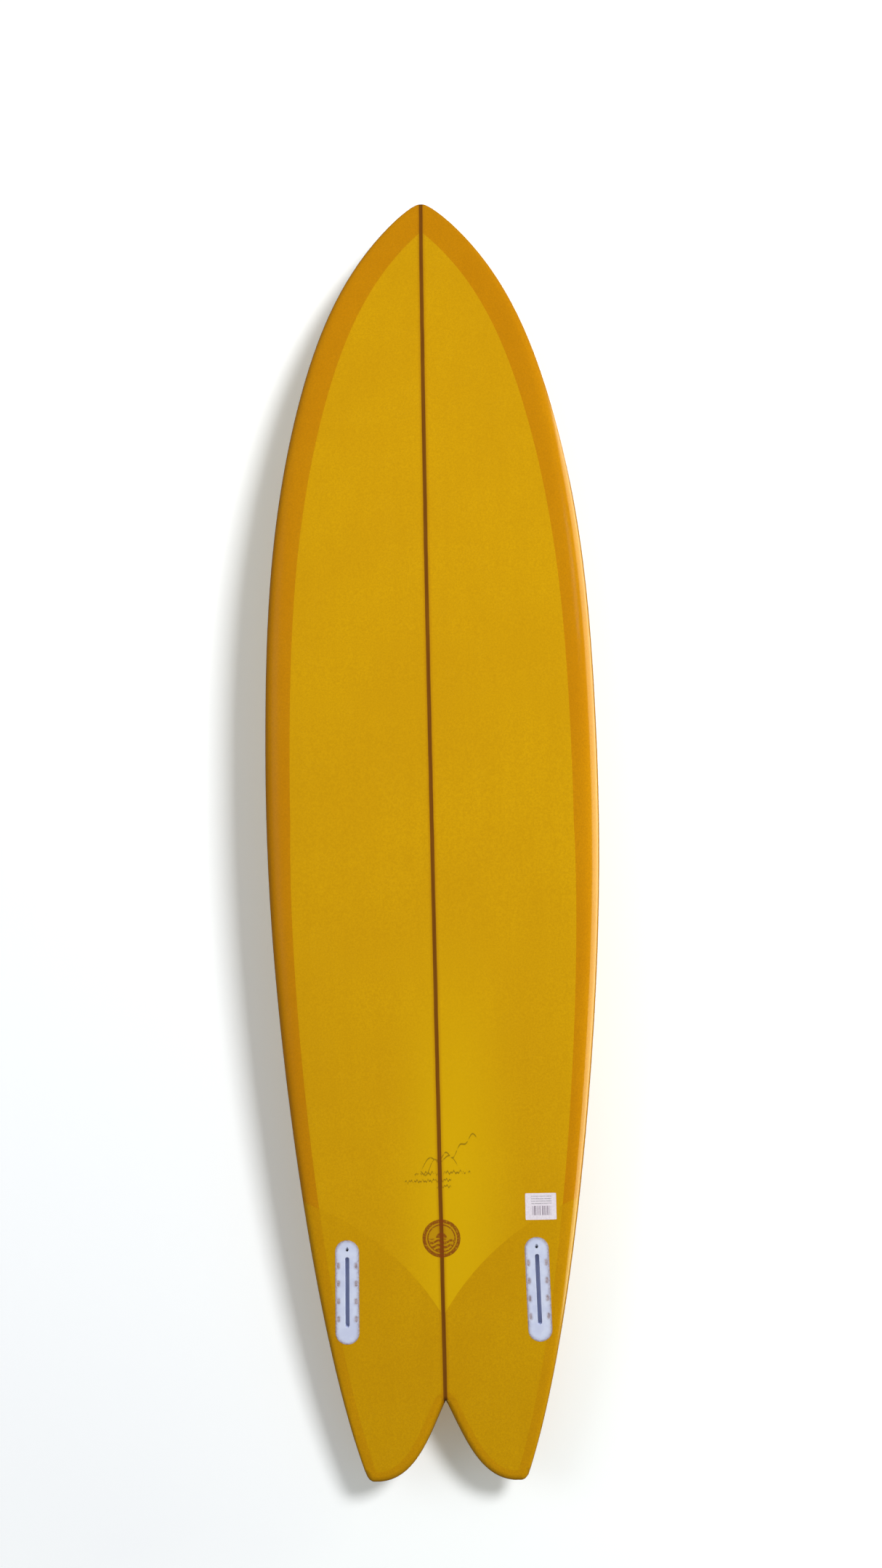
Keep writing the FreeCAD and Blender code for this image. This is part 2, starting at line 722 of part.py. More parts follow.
# ------------------------------------------------------- stringer, glue and foam
half_stringer = "Sizes.stringer_width / 2"
glue_edge = "(Sizes.stringer_width / 2 + Sizes.glue_gap)"
deep_box = ("2 * Sizes.length", "2 * Sizes.length", "-Sizes.length", "-Sizes.length")
core = hulls["foam_hull"]


def slab(name, width, x):
    """A slab right through the board, parallel to the stringer."""
    depth, height, y, z = deep_box
    return box(name, width, depth, height, x, y, z)


def routed(name, base, tools):
    """A piece of the hull with the fin boxes' or the leash plug's holes in it."""
    piece = cut_all(name, base, tools)
    parts.append(piece)
    return piece


stringer_slab = slab("stringer_slab", "Sizes.stringer_width", f"-{half_stringer}")
parts.append(combine("Common", "stringer", core, stringer_slab))
for side_name, side in SIDES:
    start = half_stringer if side > 0 else f"-{glue_edge}"
    glue = slab(f"glue_slab_{side_name}", "Sizes.glue_gap", start)
    parts.append(combine("Common", f"stringer_glue_{side_name}", hulls["glue_hull"], glue))
    start = glue_edge if side > 0 else f"-{glue_edge} - Sizes.width"
    half_slab = slab(f"foam_slab_{side_name}", "Sizes.width", start)
    blank = combine("Common", f"foam_blank_{side_name}", core, half_slab)
    tools = [rout_cuts[0]] if side < 0 else [rout_cuts[1], plug_rout]
    routed(f"foam_half_{side_name}", blank, tools)

# ---------------------------------------------------------------- glass and coats
lower = solid_feature("lower_half", lower_half())
bare_bottom = combine("Common", "bare_bottom", solid_feature("bottom_window", bottom_window()), lower)
bare_deck = combine("Cut", "bare_deck", solid_feature("deck_window", deck_window()), lower)
outer_layer = combine("Cut", "outer_layer", hulls["outer_hull"], hulls["middle_hull"])
inner_layer = combine("Cut", "inner_layer", hulls["middle_hull"], hulls["foam_hull"])
openings = rout_cuts + [plug_rout]
routed("deck_laminate", outer_layer, [bare_bottom] + openings)
routed("bottom_laminate", inner_layer, [bare_deck] + openings)
routed("deck_patch", combine("Common", "deck_patch_whole", inner_layer, bare_deck), [plug_rout])

bottom_coat = combine("Common", "bottom_coat", outer_layer, bare_bottom)
patch_right = solid_feature("patch_area_right", patch_area())
patch_left = solid_feature("patch_area_left", mirrored(patch_area()))
patch_right_whole = combine("Common", "tail_patch_right_whole", bottom_coat, patch_right)
patch_left_whole = combine("Common", "tail_patch_left_whole", bottom_coat, patch_left)
routed("tail_patch_left", patch_left_whole, [rout_cuts[0]])
routed("tail_patch_right", patch_right_whole, [rout_cuts[1]])

# ------------------------------------------------------------------ decal and label
disc = doc.addObject("Part::Cylinder", "decal_disc")
bind(disc, Radius="Sizes.decal_radius", Height="Sizes.length")
disc.Placement = Placement(
    Vector(0, 0, size("decal_above") - HALF), Rotation(Vector(1, 0, 0), 90)
)
decal_layer = combine("Cut", "decal_layer", hulls["decal_hull"], hulls["middle_hull"])
decal_disc = combine("Common", "decal_whole", decal_layer, disc)
decal = combine("Common", "maker_decal", decal_disc, lower)
parts.append(decal)
routed("bottom_hot_coat", bottom_coat, [patch_left, patch_right, decal] + rout_cuts)

label_prism = box(
    "label_prism",
    "Sizes.label_width",
    "Sizes.length",
    "Sizes.label_height",
    "Sizes.label_offset - Sizes.label_width / 2",
    "-Sizes.length",
    "Sizes.fin_height + Sizes.label_ahead - Sizes.length / 2 - Sizes.label_height / 2",
)
label_layer = combine("Cut", "label_layer", hulls["label_hull"], hulls["outer_hull"])
label_piece = combine("Common", "label_whole", label_layer, label_prism)
parts.append(combine("Common", "price_label", label_piece, lower))
doc.recompute()

# ------------------------------------------------------------------ check and write
for item in doc.Objects:
    if "Invalid" in item.State or "Error" in item.State:
        raise RuntimeError(f"{item.Name} failed: {item.State}")
for item in parts:
    item.Label = item.Name
    if item.Shape.isNull() or not item.Shape.isValid() or not item.Shape.Solids:
        raise RuntimeError(f"{item.Label} is not a valid solid")

os.makedirs("parts", exist_ok=True)
for item in parts:
    item.Shape.exportStep(f"parts/{item.Label}.step")
    print(f"{item.Label}: {len(item.Shape.Solids)} solid, {item.Shape.Volume / 1000:.2f} cm3")
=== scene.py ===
import math

import bpy
import numpy as np
from mathutils import Matrix, Vector
from mathutils.bvhtree import BVHTree


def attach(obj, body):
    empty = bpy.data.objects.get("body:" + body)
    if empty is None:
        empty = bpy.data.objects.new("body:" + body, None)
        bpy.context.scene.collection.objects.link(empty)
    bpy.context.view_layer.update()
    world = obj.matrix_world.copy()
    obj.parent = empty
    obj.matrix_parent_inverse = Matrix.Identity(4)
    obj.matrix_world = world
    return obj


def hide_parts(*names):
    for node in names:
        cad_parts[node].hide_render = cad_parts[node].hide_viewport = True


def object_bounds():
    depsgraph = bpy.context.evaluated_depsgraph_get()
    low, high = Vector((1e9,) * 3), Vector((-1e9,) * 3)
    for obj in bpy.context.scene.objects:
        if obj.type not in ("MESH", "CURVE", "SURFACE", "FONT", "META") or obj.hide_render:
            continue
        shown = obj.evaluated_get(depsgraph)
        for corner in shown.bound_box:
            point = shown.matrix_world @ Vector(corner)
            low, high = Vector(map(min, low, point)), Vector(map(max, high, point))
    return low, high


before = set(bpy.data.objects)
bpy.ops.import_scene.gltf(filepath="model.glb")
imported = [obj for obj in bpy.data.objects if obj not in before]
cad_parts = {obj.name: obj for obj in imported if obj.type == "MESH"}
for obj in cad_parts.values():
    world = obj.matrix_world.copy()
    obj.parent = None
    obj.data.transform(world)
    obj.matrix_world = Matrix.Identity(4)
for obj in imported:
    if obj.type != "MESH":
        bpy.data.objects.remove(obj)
cad_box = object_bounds()

# Sizes in metres, in the frame of the CAD parts: +Z to the nose, +X to the right when
# the bottom is looked at, bottom facing -Y, origin on the deck at half length.
MM = 0.001
HALF = (cad_box[1].z - cad_box[0].z) / 2
HALF_WIDTH = 273 * MM
THICKNESS = 70 * MM
THICK_POINT = 40 * MM
NOSE_THICKNESS = 13 * MM
TAIL_THICKNESS = 24 * MM
NOSE_ROCKER = 120 * MM
TAIL_ROCKER = 50 * MM
NOSE_CURVE, TAIL_CURVE = 2.6, 2.2  # powers of the rocker towards each end
FOIL_NOSE, FOIL_TAIL = 2.2, 2.6  # powers of the thinning towards each end
NOSE_WEDGE = 5 * MM  # half width over which the nose loses its thickness
GLASS = 0.6 * MM  # one laminate or coat
SWALLOW = 131 * MM
TIP_LAND = 18 * MM
TIP_CORNER = 9 * MM
TAIL_ROUND = 11 * MM  # how far in from the tail's edge its rounding starts
NOSE_ROUND = 3 * MM
LAP_NOSE, LAP_MID, LAP_TAIL = 48 * MM, 42 * MM, 18 * MM
DECK_LAP = 50 * MM
PATCH_REACH, PATCH_RADIUS, PATCH_ANGLE = 271 * MM, 428 * MM, math.radians(60)
STRINGER, GLUE = 6.35 * MM, 0.3 * MM
OUTER_MESH, INNER_MESH = (4 * MM, 8), (12 * MM, 4)  # spacing along the rail, points per span round it

OUTLINE = [  # plan outline from nose to tail, shares of half width and half length
    (0.009, 1.0),
    (0.050, 1.0),
    (0.291, 0.948),
    (0.669, 0.790),
    (0.946, 0.484),
    (1.010, 0.163),
    (1.000, -0.288),
    (0.667, -0.893),
    (0.407, -1.040),
]


# ------------------------------------------------------------------ shape of the board
def spline_weights(count, shares):
    """Weights of an open, evenly knotted cubic's poles at these shares of its length."""
    spans = count - 3
    knots = np.concatenate([[0] * 3, np.linspace(0, 1, spans + 1), [1] * 3])
    t = np.clip(np.asarray(shares, float), 0, 1 - 1e-9)
    weights = [((t >= a) & (t < b)).astype(float) for a, b in zip(knots, knots[1:])]
    for degree in (1, 2, 3):
        raised = []
        for i in range(len(weights) - 1):
            start, end = knots[i], knots[i + degree + 1]
            rise = (t - start) / max(knots[i + degree] - start, 1e-12) * weights[i]
            fall = (end - t) / max(end - knots[i + 1], 1e-12) * weights[i + 1]
            raised.append(rise + fall)
        weights = raised
    return np.array(weights).T


FINE = np.linspace(0, 1, 4001)
OUTLINE_FINE = spline_weights(len(OUTLINE), FINE) @ (np.array(OUTLINE) * [HALF_WIDTH, HALF])
OUTLINE_RUN = np.concatenate([[0], np.cumsum(np.hypot(*np.diff(OUTLINE_FINE, axis=0).T))])


def along_outline(run):
    """Outline points and the inward direction at these distances round from the nose."""
    x, z = (np.interp(run, OUTLINE_RUN, OUTLINE_FINE[:, i]) for i in (0, 1))
    step = np.gradient(OUTLINE_FINE, axis=0)
    step /= np.linalg.norm(step, axis=1)[:, None]
    tx, tz = (np.interp(run, OUTLINE_RUN, step[:, i]) for i in (0, 1))
    return np.stack([x, z], 1), np.stack([tz, -tx], 1)


def bottom(z):
    """Height of the bottom on the centre line."""
    share = np.abs(z) / HALF
    lift = np.where(z > 0, NOSE_ROCKER * share**NOSE_CURVE, TAIL_ROCKER * share**TAIL_CURVE)
    return lift - THICKNESS


def thick(z):
    """Thickness on the centre line."""
    nose = np.clip((z - THICK_POINT) / (HALF - THICK_POINT), 0, 1.2) ** FOIL_NOSE
    tail = np.clip((THICK_POINT - z) / (HALF + THICK_POINT), 0, 1.2) ** FOIL_TAIL
    end = np.where(z > THICK_POINT, NOSE_THICKNESS, TAIL_THICKNESS)
    return THICKNESS - (THICKNESS - end) * (nose + tail)


def slope(height, z):
    """Rise of a profile per metre towards the nose."""
    return float(height(z + MM) - height(z - MM)) / (2 * MM)


def hull_points(run, across, inset):
    """Right half of the hull, rows along the outline and columns from bottom to deck."""
    edge, inward = along_outline(run)
    edge = edge + inward * inset
    wide, z = np.maximum(edge[:, 0], 0.2 * MM), edge[:, 1]
    full = thick(z) * (1 - np.exp(-wide / NOSE_WEDGE))
    low = bottom(z) + (thick(z) - full) / 2 + inset
    deep = np.maximum(full - 2 * inset, 0.3 * MM)
    rail = deep * wide / (wide + deep / 2)
    flat = wide - 0.75 * rail
    hard = np.clip(-z / HALF, 0, 1) ** 2
    x = [
        0 * wide,
        0.40 * flat,
        0.75 * flat,
        flat,
        wide - (0.30 - 0.12 * hard) * rail,
        wide - 0.08 * rail,
        wide + 0.04 * rail,
        wide - 0.08 * rail,
        wide - 0.45 * rail,
        0.72 * flat,
        0.38 * flat,
        0 * wide,
    ]
    flat_height = 0 * deep
    y = [flat_height] * 4 + [
        0.015 * deep,
        (0.13 - 0.06 * hard) * deep,
        0.37 * deep,
        0.63 * deep,
        0.85 * deep,
        0.975 * deep,
        deep,
        deep,
    ]
    weights = spline_weights(12, across)
    round_off = np.sqrt(1 - (1 - np.clip(run / NOSE_ROUND, 0.02, 1)) ** 2)[:, None]
    px = (weights @ np.array(x)).T * round_off
    py = (weights @ np.array(y)).T + low[:, None]
    middle = (low + deep / 2)[:, None]
    py = middle + (py - middle) * round_off
    return np.stack([px, py, np.repeat(z[:, None], len(across), 1)], 2)


def swallow_line():
    """Right half of the tail's plan line: crack, swallow, tip, corner and on past the rail."""
    past = np.argmax(OUTLINE_FINE[:, 1] < -HALF)
    rail = OUTLINE_FINE[past, 0]
    tip = rail - TIP_LAND
    corners = np.array([(0, SWALLOW), (0.25 * tip, 0.57 * SWALLOW), (0.46 * tip, 0.03 * SWALLOW), (tip, 0)])
    corners[:, 1] -= HALF
    t = np.linspace(0, 1, 161)[:, None]
    curve = (1 - t) ** 3 * corners[0] + 3 * t * (1 - t) ** 2 * corners[1]
    curve = curve + 3 * t**2 * (1 - t) * corners[2] + t**3 * corners[3]
    ahead = np.interp(HALF - TIP_CORNER, -OUTLINE_FINE[:, 1], OUTLINE_FINE[:, 0])
    turn = [(rail - TIP_CORNER, -HALF), (rail, -HALF), (ahead + TIP_CORNER / 4, -HALF + 1.5 * TIP_CORNER)]
    turn = np.array(turn)
    u = np.linspace(0, 1, 25)[:, None]
    corner = (1 - u) ** 2 * turn[0] + 2 * u * (1 - u) * turn[1] + u**2 * turn[2]
    return np.concatenate([curve, corner, corner[-1:] + [[0.3, 0.0]]])


TAIL_LINE = swallow_line()


def signed_distance(points, line):
    """Distance of plan points from a polyline, positive on its left-hand side."""
    starts, ends = line[:-1], line[1:]
    way = ends - starts
    best = np.full(len(points), 1e9)
    side = np.ones(len(points))
    squared = (way**2).sum(1)
    for start, direction, length in zip(starts, way, squared):
        if length < 1e-16:
            continue
        away = points - start
        t = np.clip(away @ direction / length, 0, 1)
        gap = away - t[:, None] * direction
        distance = np.hypot(gap[:, 0], gap[:, 1])
        cross = direction[0] * gap[:, 1] - direction[1] * gap[:, 0]
        nearer = distance < best - 1e-12
        best[nearer] = distance[nearer]
        side[nearer] = np.where(cross[nearer] >= 0, 1.0, -1.0)
    return best * side


def tail_distance(verts):
    """How far inside the tail's plan edge each point is; points well ahead just get a lot."""
    result = np.full(len(verts), 1.0)
    near = verts[:, 2] < SWALLOW - HALF + 40 * MM
    plan = np.stack([np.abs(verts[near, 0]), verts[near, 2]], 1)
    result[near] = signed_distance(plan, TAIL_LINE)
    return result


def rail_distance(verts):
    """How far inside the plan outline each point is."""
    line = OUTLINE_FINE[::12]
    plan = np.stack([np.abs(verts[:, 0]), verts[:, 2]], 1)
    best = np.full(len(plan), 1e9)
    for start in range(0, len(plan), 20000):
        chunk = plan[start : start + 20000]
        order = np.clip(np.searchsorted(-line[:, 1], -chunk[:, 1]), 1, len(line) - 2)
        for shift in range(-28, 29):
            i = np.clip(order + shift, 0, len(line) - 2)
            a, way = line[i], line[i + 1] - line[i]
            t = np.clip(((chunk - a) * way).sum(1) / (way**2).sum(1), 0, 1)
            gap = chunk - a - t[:, None] * way
            best[start : start + 20000] = np.minimum(best[start : start + 20000], np.hypot(*gap.T))
    return best


# ------------------------------------------------------------------ cutting mesh work
class Skin:
    """Triangles with a number at each point that says how far round from bottom to deck it is."""

    def __init__(self, verts, tris, around=None):
        self.verts = np.asarray(verts, float)
        self.tris = np.asarray(tris, int).reshape(-1, 3)
        self.around = np.zeros(len(self.verts)) if around is None else np.asarray(around, float)

    def split(self, values):
        """Cuts every triangle along the line where the values at its points pass through nought."""
        values = np.where(np.abs(values) < 1e-9, 1e-9, values)
        sign = values[self.tris] > 0
        count = sign.sum(1)
        whole = self.tris[(count == 0) | (count == 3)]
        cut = self.tris[(count == 1) | (count == 2)]
        if not len(cut):
            return self
        flags = values[cut] > 0
        lone = np.where(flags.sum(1) == 1, flags.argmax(1), (~flags).argmax(1))
        rows = np.arange(len(cut))
        a, b, c = (cut[rows, (lone + i) % 3] for i in range(3))
        pairs = np.sort(np.concatenate([np.stack([a, b], 1), np.stack([a, c], 1)]), axis=1)
        unique, place = np.unique(pairs, axis=0, return_inverse=True)
        place = place.ravel()
        first, second = values[unique[:, 0]], values[unique[:, 1]]
        share = (first / (first - second))[:, None]
        start = len(self.verts)
        ends = self.verts[unique[:, 0]], self.verts[unique[:, 1]]
        self.verts = np.concatenate([self.verts, ends[0] + (ends[1] - ends[0]) * share])
        ends = self.around[unique[:, 0]], self.around[unique[:, 1]]
        self.around = np.concatenate([self.around, ends[0] + (ends[1] - ends[0]) * share[:, 0]])
        p, q = start + place[: len(cut)], start + place[len(cut) :]
        new = [np.stack(t, 1) for t in ((a, p, q), (p, b, c), (p, c, q))]
        self.tris = np.concatenate([whole] + new)
        return self

    def middles(self):
        return self.verts[self.tris].mean(1)

    def keep(self, mask):
        """A new skin of the triangles that the mask picks."""
        tris = self.tris[mask]
        used, place = np.unique(tris.ravel(), return_inverse=True)
        made = Skin(self.verts[used], place.reshape(-1, 3), self.around[used])
        if hasattr(self, "normals"):
            made.normals = self.normals[used]
        return made

    def work_out_normals(self):
        corners = self.verts[self.tris]
        face = np.cross(corners[:, 1] - corners[:, 0], corners[:, 2] - corners[:, 0])
        total = np.zeros_like(self.verts)
        for i in range(3):
            np.add.at(total, self.tris[:, i], face)
        self.normals = total / np.maximum(np.linalg.norm(total, axis=1), 1e-15)[:, None]
        return self

    def rim(self):
        """Directed edges that belong to one triangle only."""
        edges = np.concatenate([self.tris[:, [0, 1]], self.tris[:, [1, 2]], self.tris[:, [2, 0]]])
        ordered = np.sort(edges, axis=1)
        _, place, count = np.unique(ordered, axis=0, return_inverse=True, return_counts=True)
        return edges[count[place.ravel()] == 1]

    def add_rings(self, edges, rings):
        """Carries rim edges on through a row of rings, each the rim's points moved by a function."""
        ids, place = np.unique(edges.ravel(), return_inverse=True)
        place = place.reshape(-1, 2)
        base = self.verts[ids]
        last = ids
        for ring in rings:
            start = len(self.verts)
            self.verts = np.concatenate([self.verts, ring(base)])
            self.around = np.concatenate([self.around, self.around[ids]])
            here = start + np.arange(len(ids))
            a, b = place[:, 0], place[:, 1]
            band = [(last[b], last[a], here[a]), (last[b], here[a], here[b])]
            self.tris = np.concatenate([self.tris] + [np.stack(t, 1) for t in band])
            last = here
        return self

    def add(self, other):
        start = len(self.verts)
        self.verts = np.concatenate([self.verts, other.verts])
        self.around = np.concatenate([self.around, other.around])
        self.tris = np.concatenate([self.tris, other.tris + start])
        return self

    def moved(self, matrix):
        m = np.array(matrix)
        self.verts = self.verts @ m[:3, :3].T + m[:3, 3]
        return self


def shelled(skin, thickness):
    """A closed skin: the outside, the same inside by a thickness, and walls along its rim."""
    n = skin.normals
    inner = skin.verts - n * thickness
    count = len(skin.verts)
    rim = skin.rim()
    a, b = rim[:, 0], rim[:, 1]
    corners = np.concatenate([skin.verts[a], skin.verts[b], inner[a], inner[b]])
    way = skin.verts[b] - skin.verts[a]
    outward = np.cross(way, n[a])
    outward /= np.maximum(np.linalg.norm(outward, axis=1), 1e-15)[:, None]
    e = len(rim)
    at = 2 * count + np.arange(e)
    walls = [np.stack([at + e, at, at + 2 * e], 1), np.stack([at + e, at + 2 * e, at + 3 * e], 1)]
    made = Skin(
        np.concatenate([skin.verts, inner, corners]),
        np.concatenate([skin.tris, skin.tris[:, ::-1] + count] + walls),
        np.concatenate([skin.around, skin.around, np.zeros(4 * e)]),
    )
    made.normals = np.concatenate([n, -n, outward, outward, outward, outward])
    return made


def grid(rows, columns, closed=False):
    """Triangles of a grid of points, its last column joined to its first if it is closed."""
    i, j = np.meshgrid(np.arange(rows - 1), np.arange(columns if closed else columns - 1), indexing="ij")
    i, j = i.ravel(), j.ravel()
    k = (j + 1) % columns
    a, b, c, d = i * columns + j, i * columns + k, (i + 1) * columns + k, (i + 1) * columns + j
    return np.concatenate([np.stack([a, b, c], 1), np.stack([a, c, d], 1)])


def piece(name, skin, body, nodes, materials, faces=None, sharp=None, fade=None):
    """A Blender object from a skin, riding on a CAD body in place of the CAD nodes named."""
    mesh = bpy.data.meshes.new(name)
    mesh.vertices.add(len(skin.verts))
    mesh.vertices.foreach_set("co", skin.verts.astype(np.float32).ravel())
    mesh.loops.add(3 * len(skin.tris))
    mesh.loops.foreach_set("vertex_index", skin.tris.astype(np.int32).ravel())
    mesh.polygons.add(len(skin.tris))
    mesh.polygons.foreach_set("loop_start", np.arange(0, 3 * len(skin.tris), 3, dtype=np.int32))
    mesh.polygons.foreach_set("use_smooth", np.ones(len(skin.tris), bool))
    for m in materials:
        mesh.materials.append(m)
    if faces is not None:
        mesh.polygons.foreach_set("material_index", faces.astype(np.int32))
    mesh.update(calc_edges=True)
    mesh.validate()
    if fade is not None:
        share = mesh.attributes.new("fade", "FLOAT", "POINT")
        share.data.foreach_set("value", fade.astype(np.float32))
    if sharp is None:
        mesh.normals_split_custom_set_from_vertices([tuple(n) for n in skin.normals])
    else:
        mesh.set_sharp_from_angle(angle=math.radians(sharp))
    obj = bpy.data.objects.new(name, mesh)
    bpy.context.scene.collection.objects.link(obj)
    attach(obj, body)
    if nodes:
        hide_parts(*nodes)
    return obj


# ------------------------------------------------------------------ places of the fittings
FIN_OFFSET, FIN_Z, FIN_TOE = 155 * MM, 312 * MM - HALF, math.radians(1.2)
FLANGE_RUN, FLANGE_RADIUS, FLANGE_THICKNESS = 131 * MM, 18.5 * MM, 3 * MM
BOX_RUN, BOX_RADIUS, BOX_DEPTH = 135 * MM, 8.5 * MM, 21 * MM
SLOT_RUN, SLOT_RADIUS, SLOT_DEPTH = 107.7 * MM, 3.3 * MM, 18.5 * MM
KEY_RUN, KEY_RADIUS, KEY_PITCH, KEY_ACROSS = 5 * MM, 2 * MM, 29 * MM, 14.7 * MM
BED = 1 * MM
SCREW_AHEAD, SCREW_LEAN = 13 * MM, math.radians(45)
SCREW_RADIUS, SCREW_LENGTH, SCREW_HOLE, SCREW_SINK = 2.45 * MM, 10 * MM, 2.5 * MM, 3 * MM
PLUG_OFFSET, PLUG_Z, PLUG_FLANGE = 38 * MM, SWALLOW + 95 * MM - HALF, 17 * MM


def fin_place(side):
    """Where a fin box lies: its face on the bottom, +Y along the slot to the nose."""
    tilt = math.atan(slope(bottom, FIN_Z))
    lie = Matrix.Rotation(math.pi / 2 - tilt, 4, "X")
    toe = Matrix.Rotation(side * FIN_TOE, 4, "Z")
    return Matrix.Translation((side * FIN_OFFSET, float(bottom(FIN_Z)), FIN_Z)) @ lie @ toe


def screw_place(side, down):
    """Where a fin screw's outer end is, this far down its slanted hole."""
    mouth = Matrix.Translation((0, (SLOT_RUN / 2 + SLOT_RADIUS) + SCREW_AHEAD, 0))
    lean = Matrix.Rotation(SCREW_LEAN - math.pi / 2, 4, "X")
    return fin_place(side) @ mouth @ lean @ Matrix.Translation((0, 0, -down))


def deck(z):
    """Height of the deck on the centre line."""
    return bottom(z) + thick(z)


PLUG_PLACE = Matrix.Translation((PLUG_OFFSET, float(deck(PLUG_Z)), PLUG_Z)) @ Matrix.Rotation(
    -math.pi / 2 - math.atan(slope(deck, PLUG_Z)), 4, "X"
)


def local(verts, place):
    m = np.array(place.inverted())
    return verts @ m[:3, :3].T + m[:3, 3]


def stadium(points, run, radius, x=0.0, y=0.0):
    """Distance outside a round-ended outline along Y, negative inside."""
    reach = points[:, 1] - y
    return np.hypot(points[:, 0] - x, reach - np.clip(reach, -run / 2, run / 2)) - radius


def ring_to(run_from, run, radius, height):
    """A ring function: points round one stadium go to the matching points of another."""

    def move(points):
        spine = np.clip(points[:, 1], -run_from / 2, run_from / 2)
        away = np.stack([points[:, 0], points[:, 1] - spine], 1)
        away /= np.maximum(np.linalg.norm(away, axis=1), 1e-12)[:, None]
        return np.stack(
            [away[:, 0] * radius, spine * run / run_from + away[:, 1] * radius, 0 * spine + height],
            1,
        )

    return move


# ------------------------------------------------------------------ hull skins
def hull_skin(inset, spacing, per_span):
    """The hull under the outer skin by inset, trimmed to the tail and with its edges rounded."""
    end = OUTLINE_RUN[np.argmax(OUTLINE_FINE[:, 1] < -HALF - 12 * MM)]
    close = np.array([0.0, 0.15, 0.4, 0.8, 1.4, 2.2, 3.2, 5, 7.5]) * MM
    run = np.concatenate([close, np.linspace(10 * MM, end, int(end / spacing))])
    across = np.linspace(0, 1, 9 * per_span + 1)
    half = hull_points(run, across, inset)
    mirror = half[:, -2:0:-1] * [-1, 1, 1]
    points = np.concatenate([half, mirror], 1)
    around = np.concatenate([across, across[-2:0:-1]])
    tip = points[0].mean(0)
    columns = points.shape[1]
    points = np.concatenate([points.reshape(-1, 3), [tip]])
    here = np.arange(columns)
    cap = np.stack([here, (here + 1) % columns, 0 * here + len(points) - 1], 1)
    tris = np.concatenate([grid(len(run), columns, closed=True)[:, ::-1], cap])
    skin = Skin(points, tris, np.append(np.tile(around, len(run)), 0.25))
    for level in np.array([0, 0.2, 0.7, 1.5, 2.8, 4.5, 6.8, 9.5]) * MM:
        skin.split(tail_distance(skin.verts) - inset - level)
    skin = skin.keep(tail_distance(skin.middles()) > inset)
    reach = TAIL_ROUND - inset
    depth = np.clip((tail_distance(skin.verts) - inset) / reach, 0, 1)
    middle = bottom(skin.verts[:, 2]) + 0.47 * thick(skin.verts[:, 2])
    skin.verts[:, 1] = middle + (skin.verts[:, 1] - middle) * np.sqrt(1 - (1 - depth) ** 2)
    return skin


def lap_width(z):
    """Width of the deck's glass lapped onto the bottom."""
    nose = LAP_MID + (LAP_NOSE - LAP_MID) * z / HALF
    tail = LAP_MID + (LAP_TAIL - LAP_MID) * np.clip(-z / HALF, 0, 1) ** 0.8
    return np.where(z > 0, nose, tail)


def bare_bottom(verts, around):
    """Positive where the deck's glass leaves the bottom bare."""
    side = rail_distance(verts) - lap_width(verts[:, 2])
    value = np.minimum(side, tail_distance(verts) - LAP_TAIL)
    return np.where(around < 0.5, value, -1.0)


def bare_deck(verts, around):
    """Positive where the bottom's glass leaves the deck bare."""
    value = np.minimum(rail_distance(verts) - DECK_LAP, verts[:, 2] - (SWALLOW + DECK_LAP - HALF))
    return np.where(around >= 0.5, value, -1.0)


def in_patch(verts):
    """Positive behind the tail patches' arched front edges."""
    start = PATCH_REACH - HALF
    x = PATCH_RADIUS * math.sin(PATCH_ANGLE)
    z = start - PATCH_RADIUS * math.cos(PATCH_ANGLE)
    wide = np.abs(verts[:, 0])
    return np.where(
        wide < x, PATCH_RADIUS - np.hypot(wide - x, verts[:, 2] - z), z + PATCH_RADIUS - verts[:, 2]
    )


DECAL_RADIUS, DECAL_Z = 33 * MM, 397 * MM - HALF
SIDES = {"left": -1, "right": 1}


def in_decal(verts, around):
    value = DECAL_RADIUS - np.hypot(verts[:, 0], verts[:, 2] - DECAL_Z)
    return np.where(around < 0.5, value, -1.0)


def outside_fin_box(verts, around, side):
    value = stadium(local(verts, fin_place(side)), FLANGE_RUN, FLANGE_RADIUS + BED)
    return np.where(around < 0.5, value, 1.0)


def outside_plug(verts, around):
    points = local(verts, PLUG_PLACE)
    return np.where(around >= 0.5, np.hypot(points[:, 0], points[:, 1]) - PLUG_FLANGE - BED, 1.0)


def cut_fittings(skin):
    """Opens the skin over the fin boxes and the leash plug."""
    for side in SIDES.values():
        skin.split(outside_fin_box(skin.verts, skin.around, side))
    skin.split(outside_plug(skin.verts, skin.around))
    middles = skin.middles()
    around = skin.around[skin.tris].mean(1)
    keep = outside_plug(middles, around) > 0
    for side in SIDES.values():
        keep &= outside_fin_box(middles, around, side) > 0
    return skin.keep(keep)


# ------------------------------------------------------------------ shading tools
def tone(red, green, blue):
    """A colour on a painter's scale of 0 to 255, as a shader wants it."""
    shares = [c / 255 for c in (red, green, blue)]
    return tuple(c / 12.92 if c <= 0.04045 else ((c + 0.055) / 1.055) ** 2.4 for c in shares) + (1.0,)


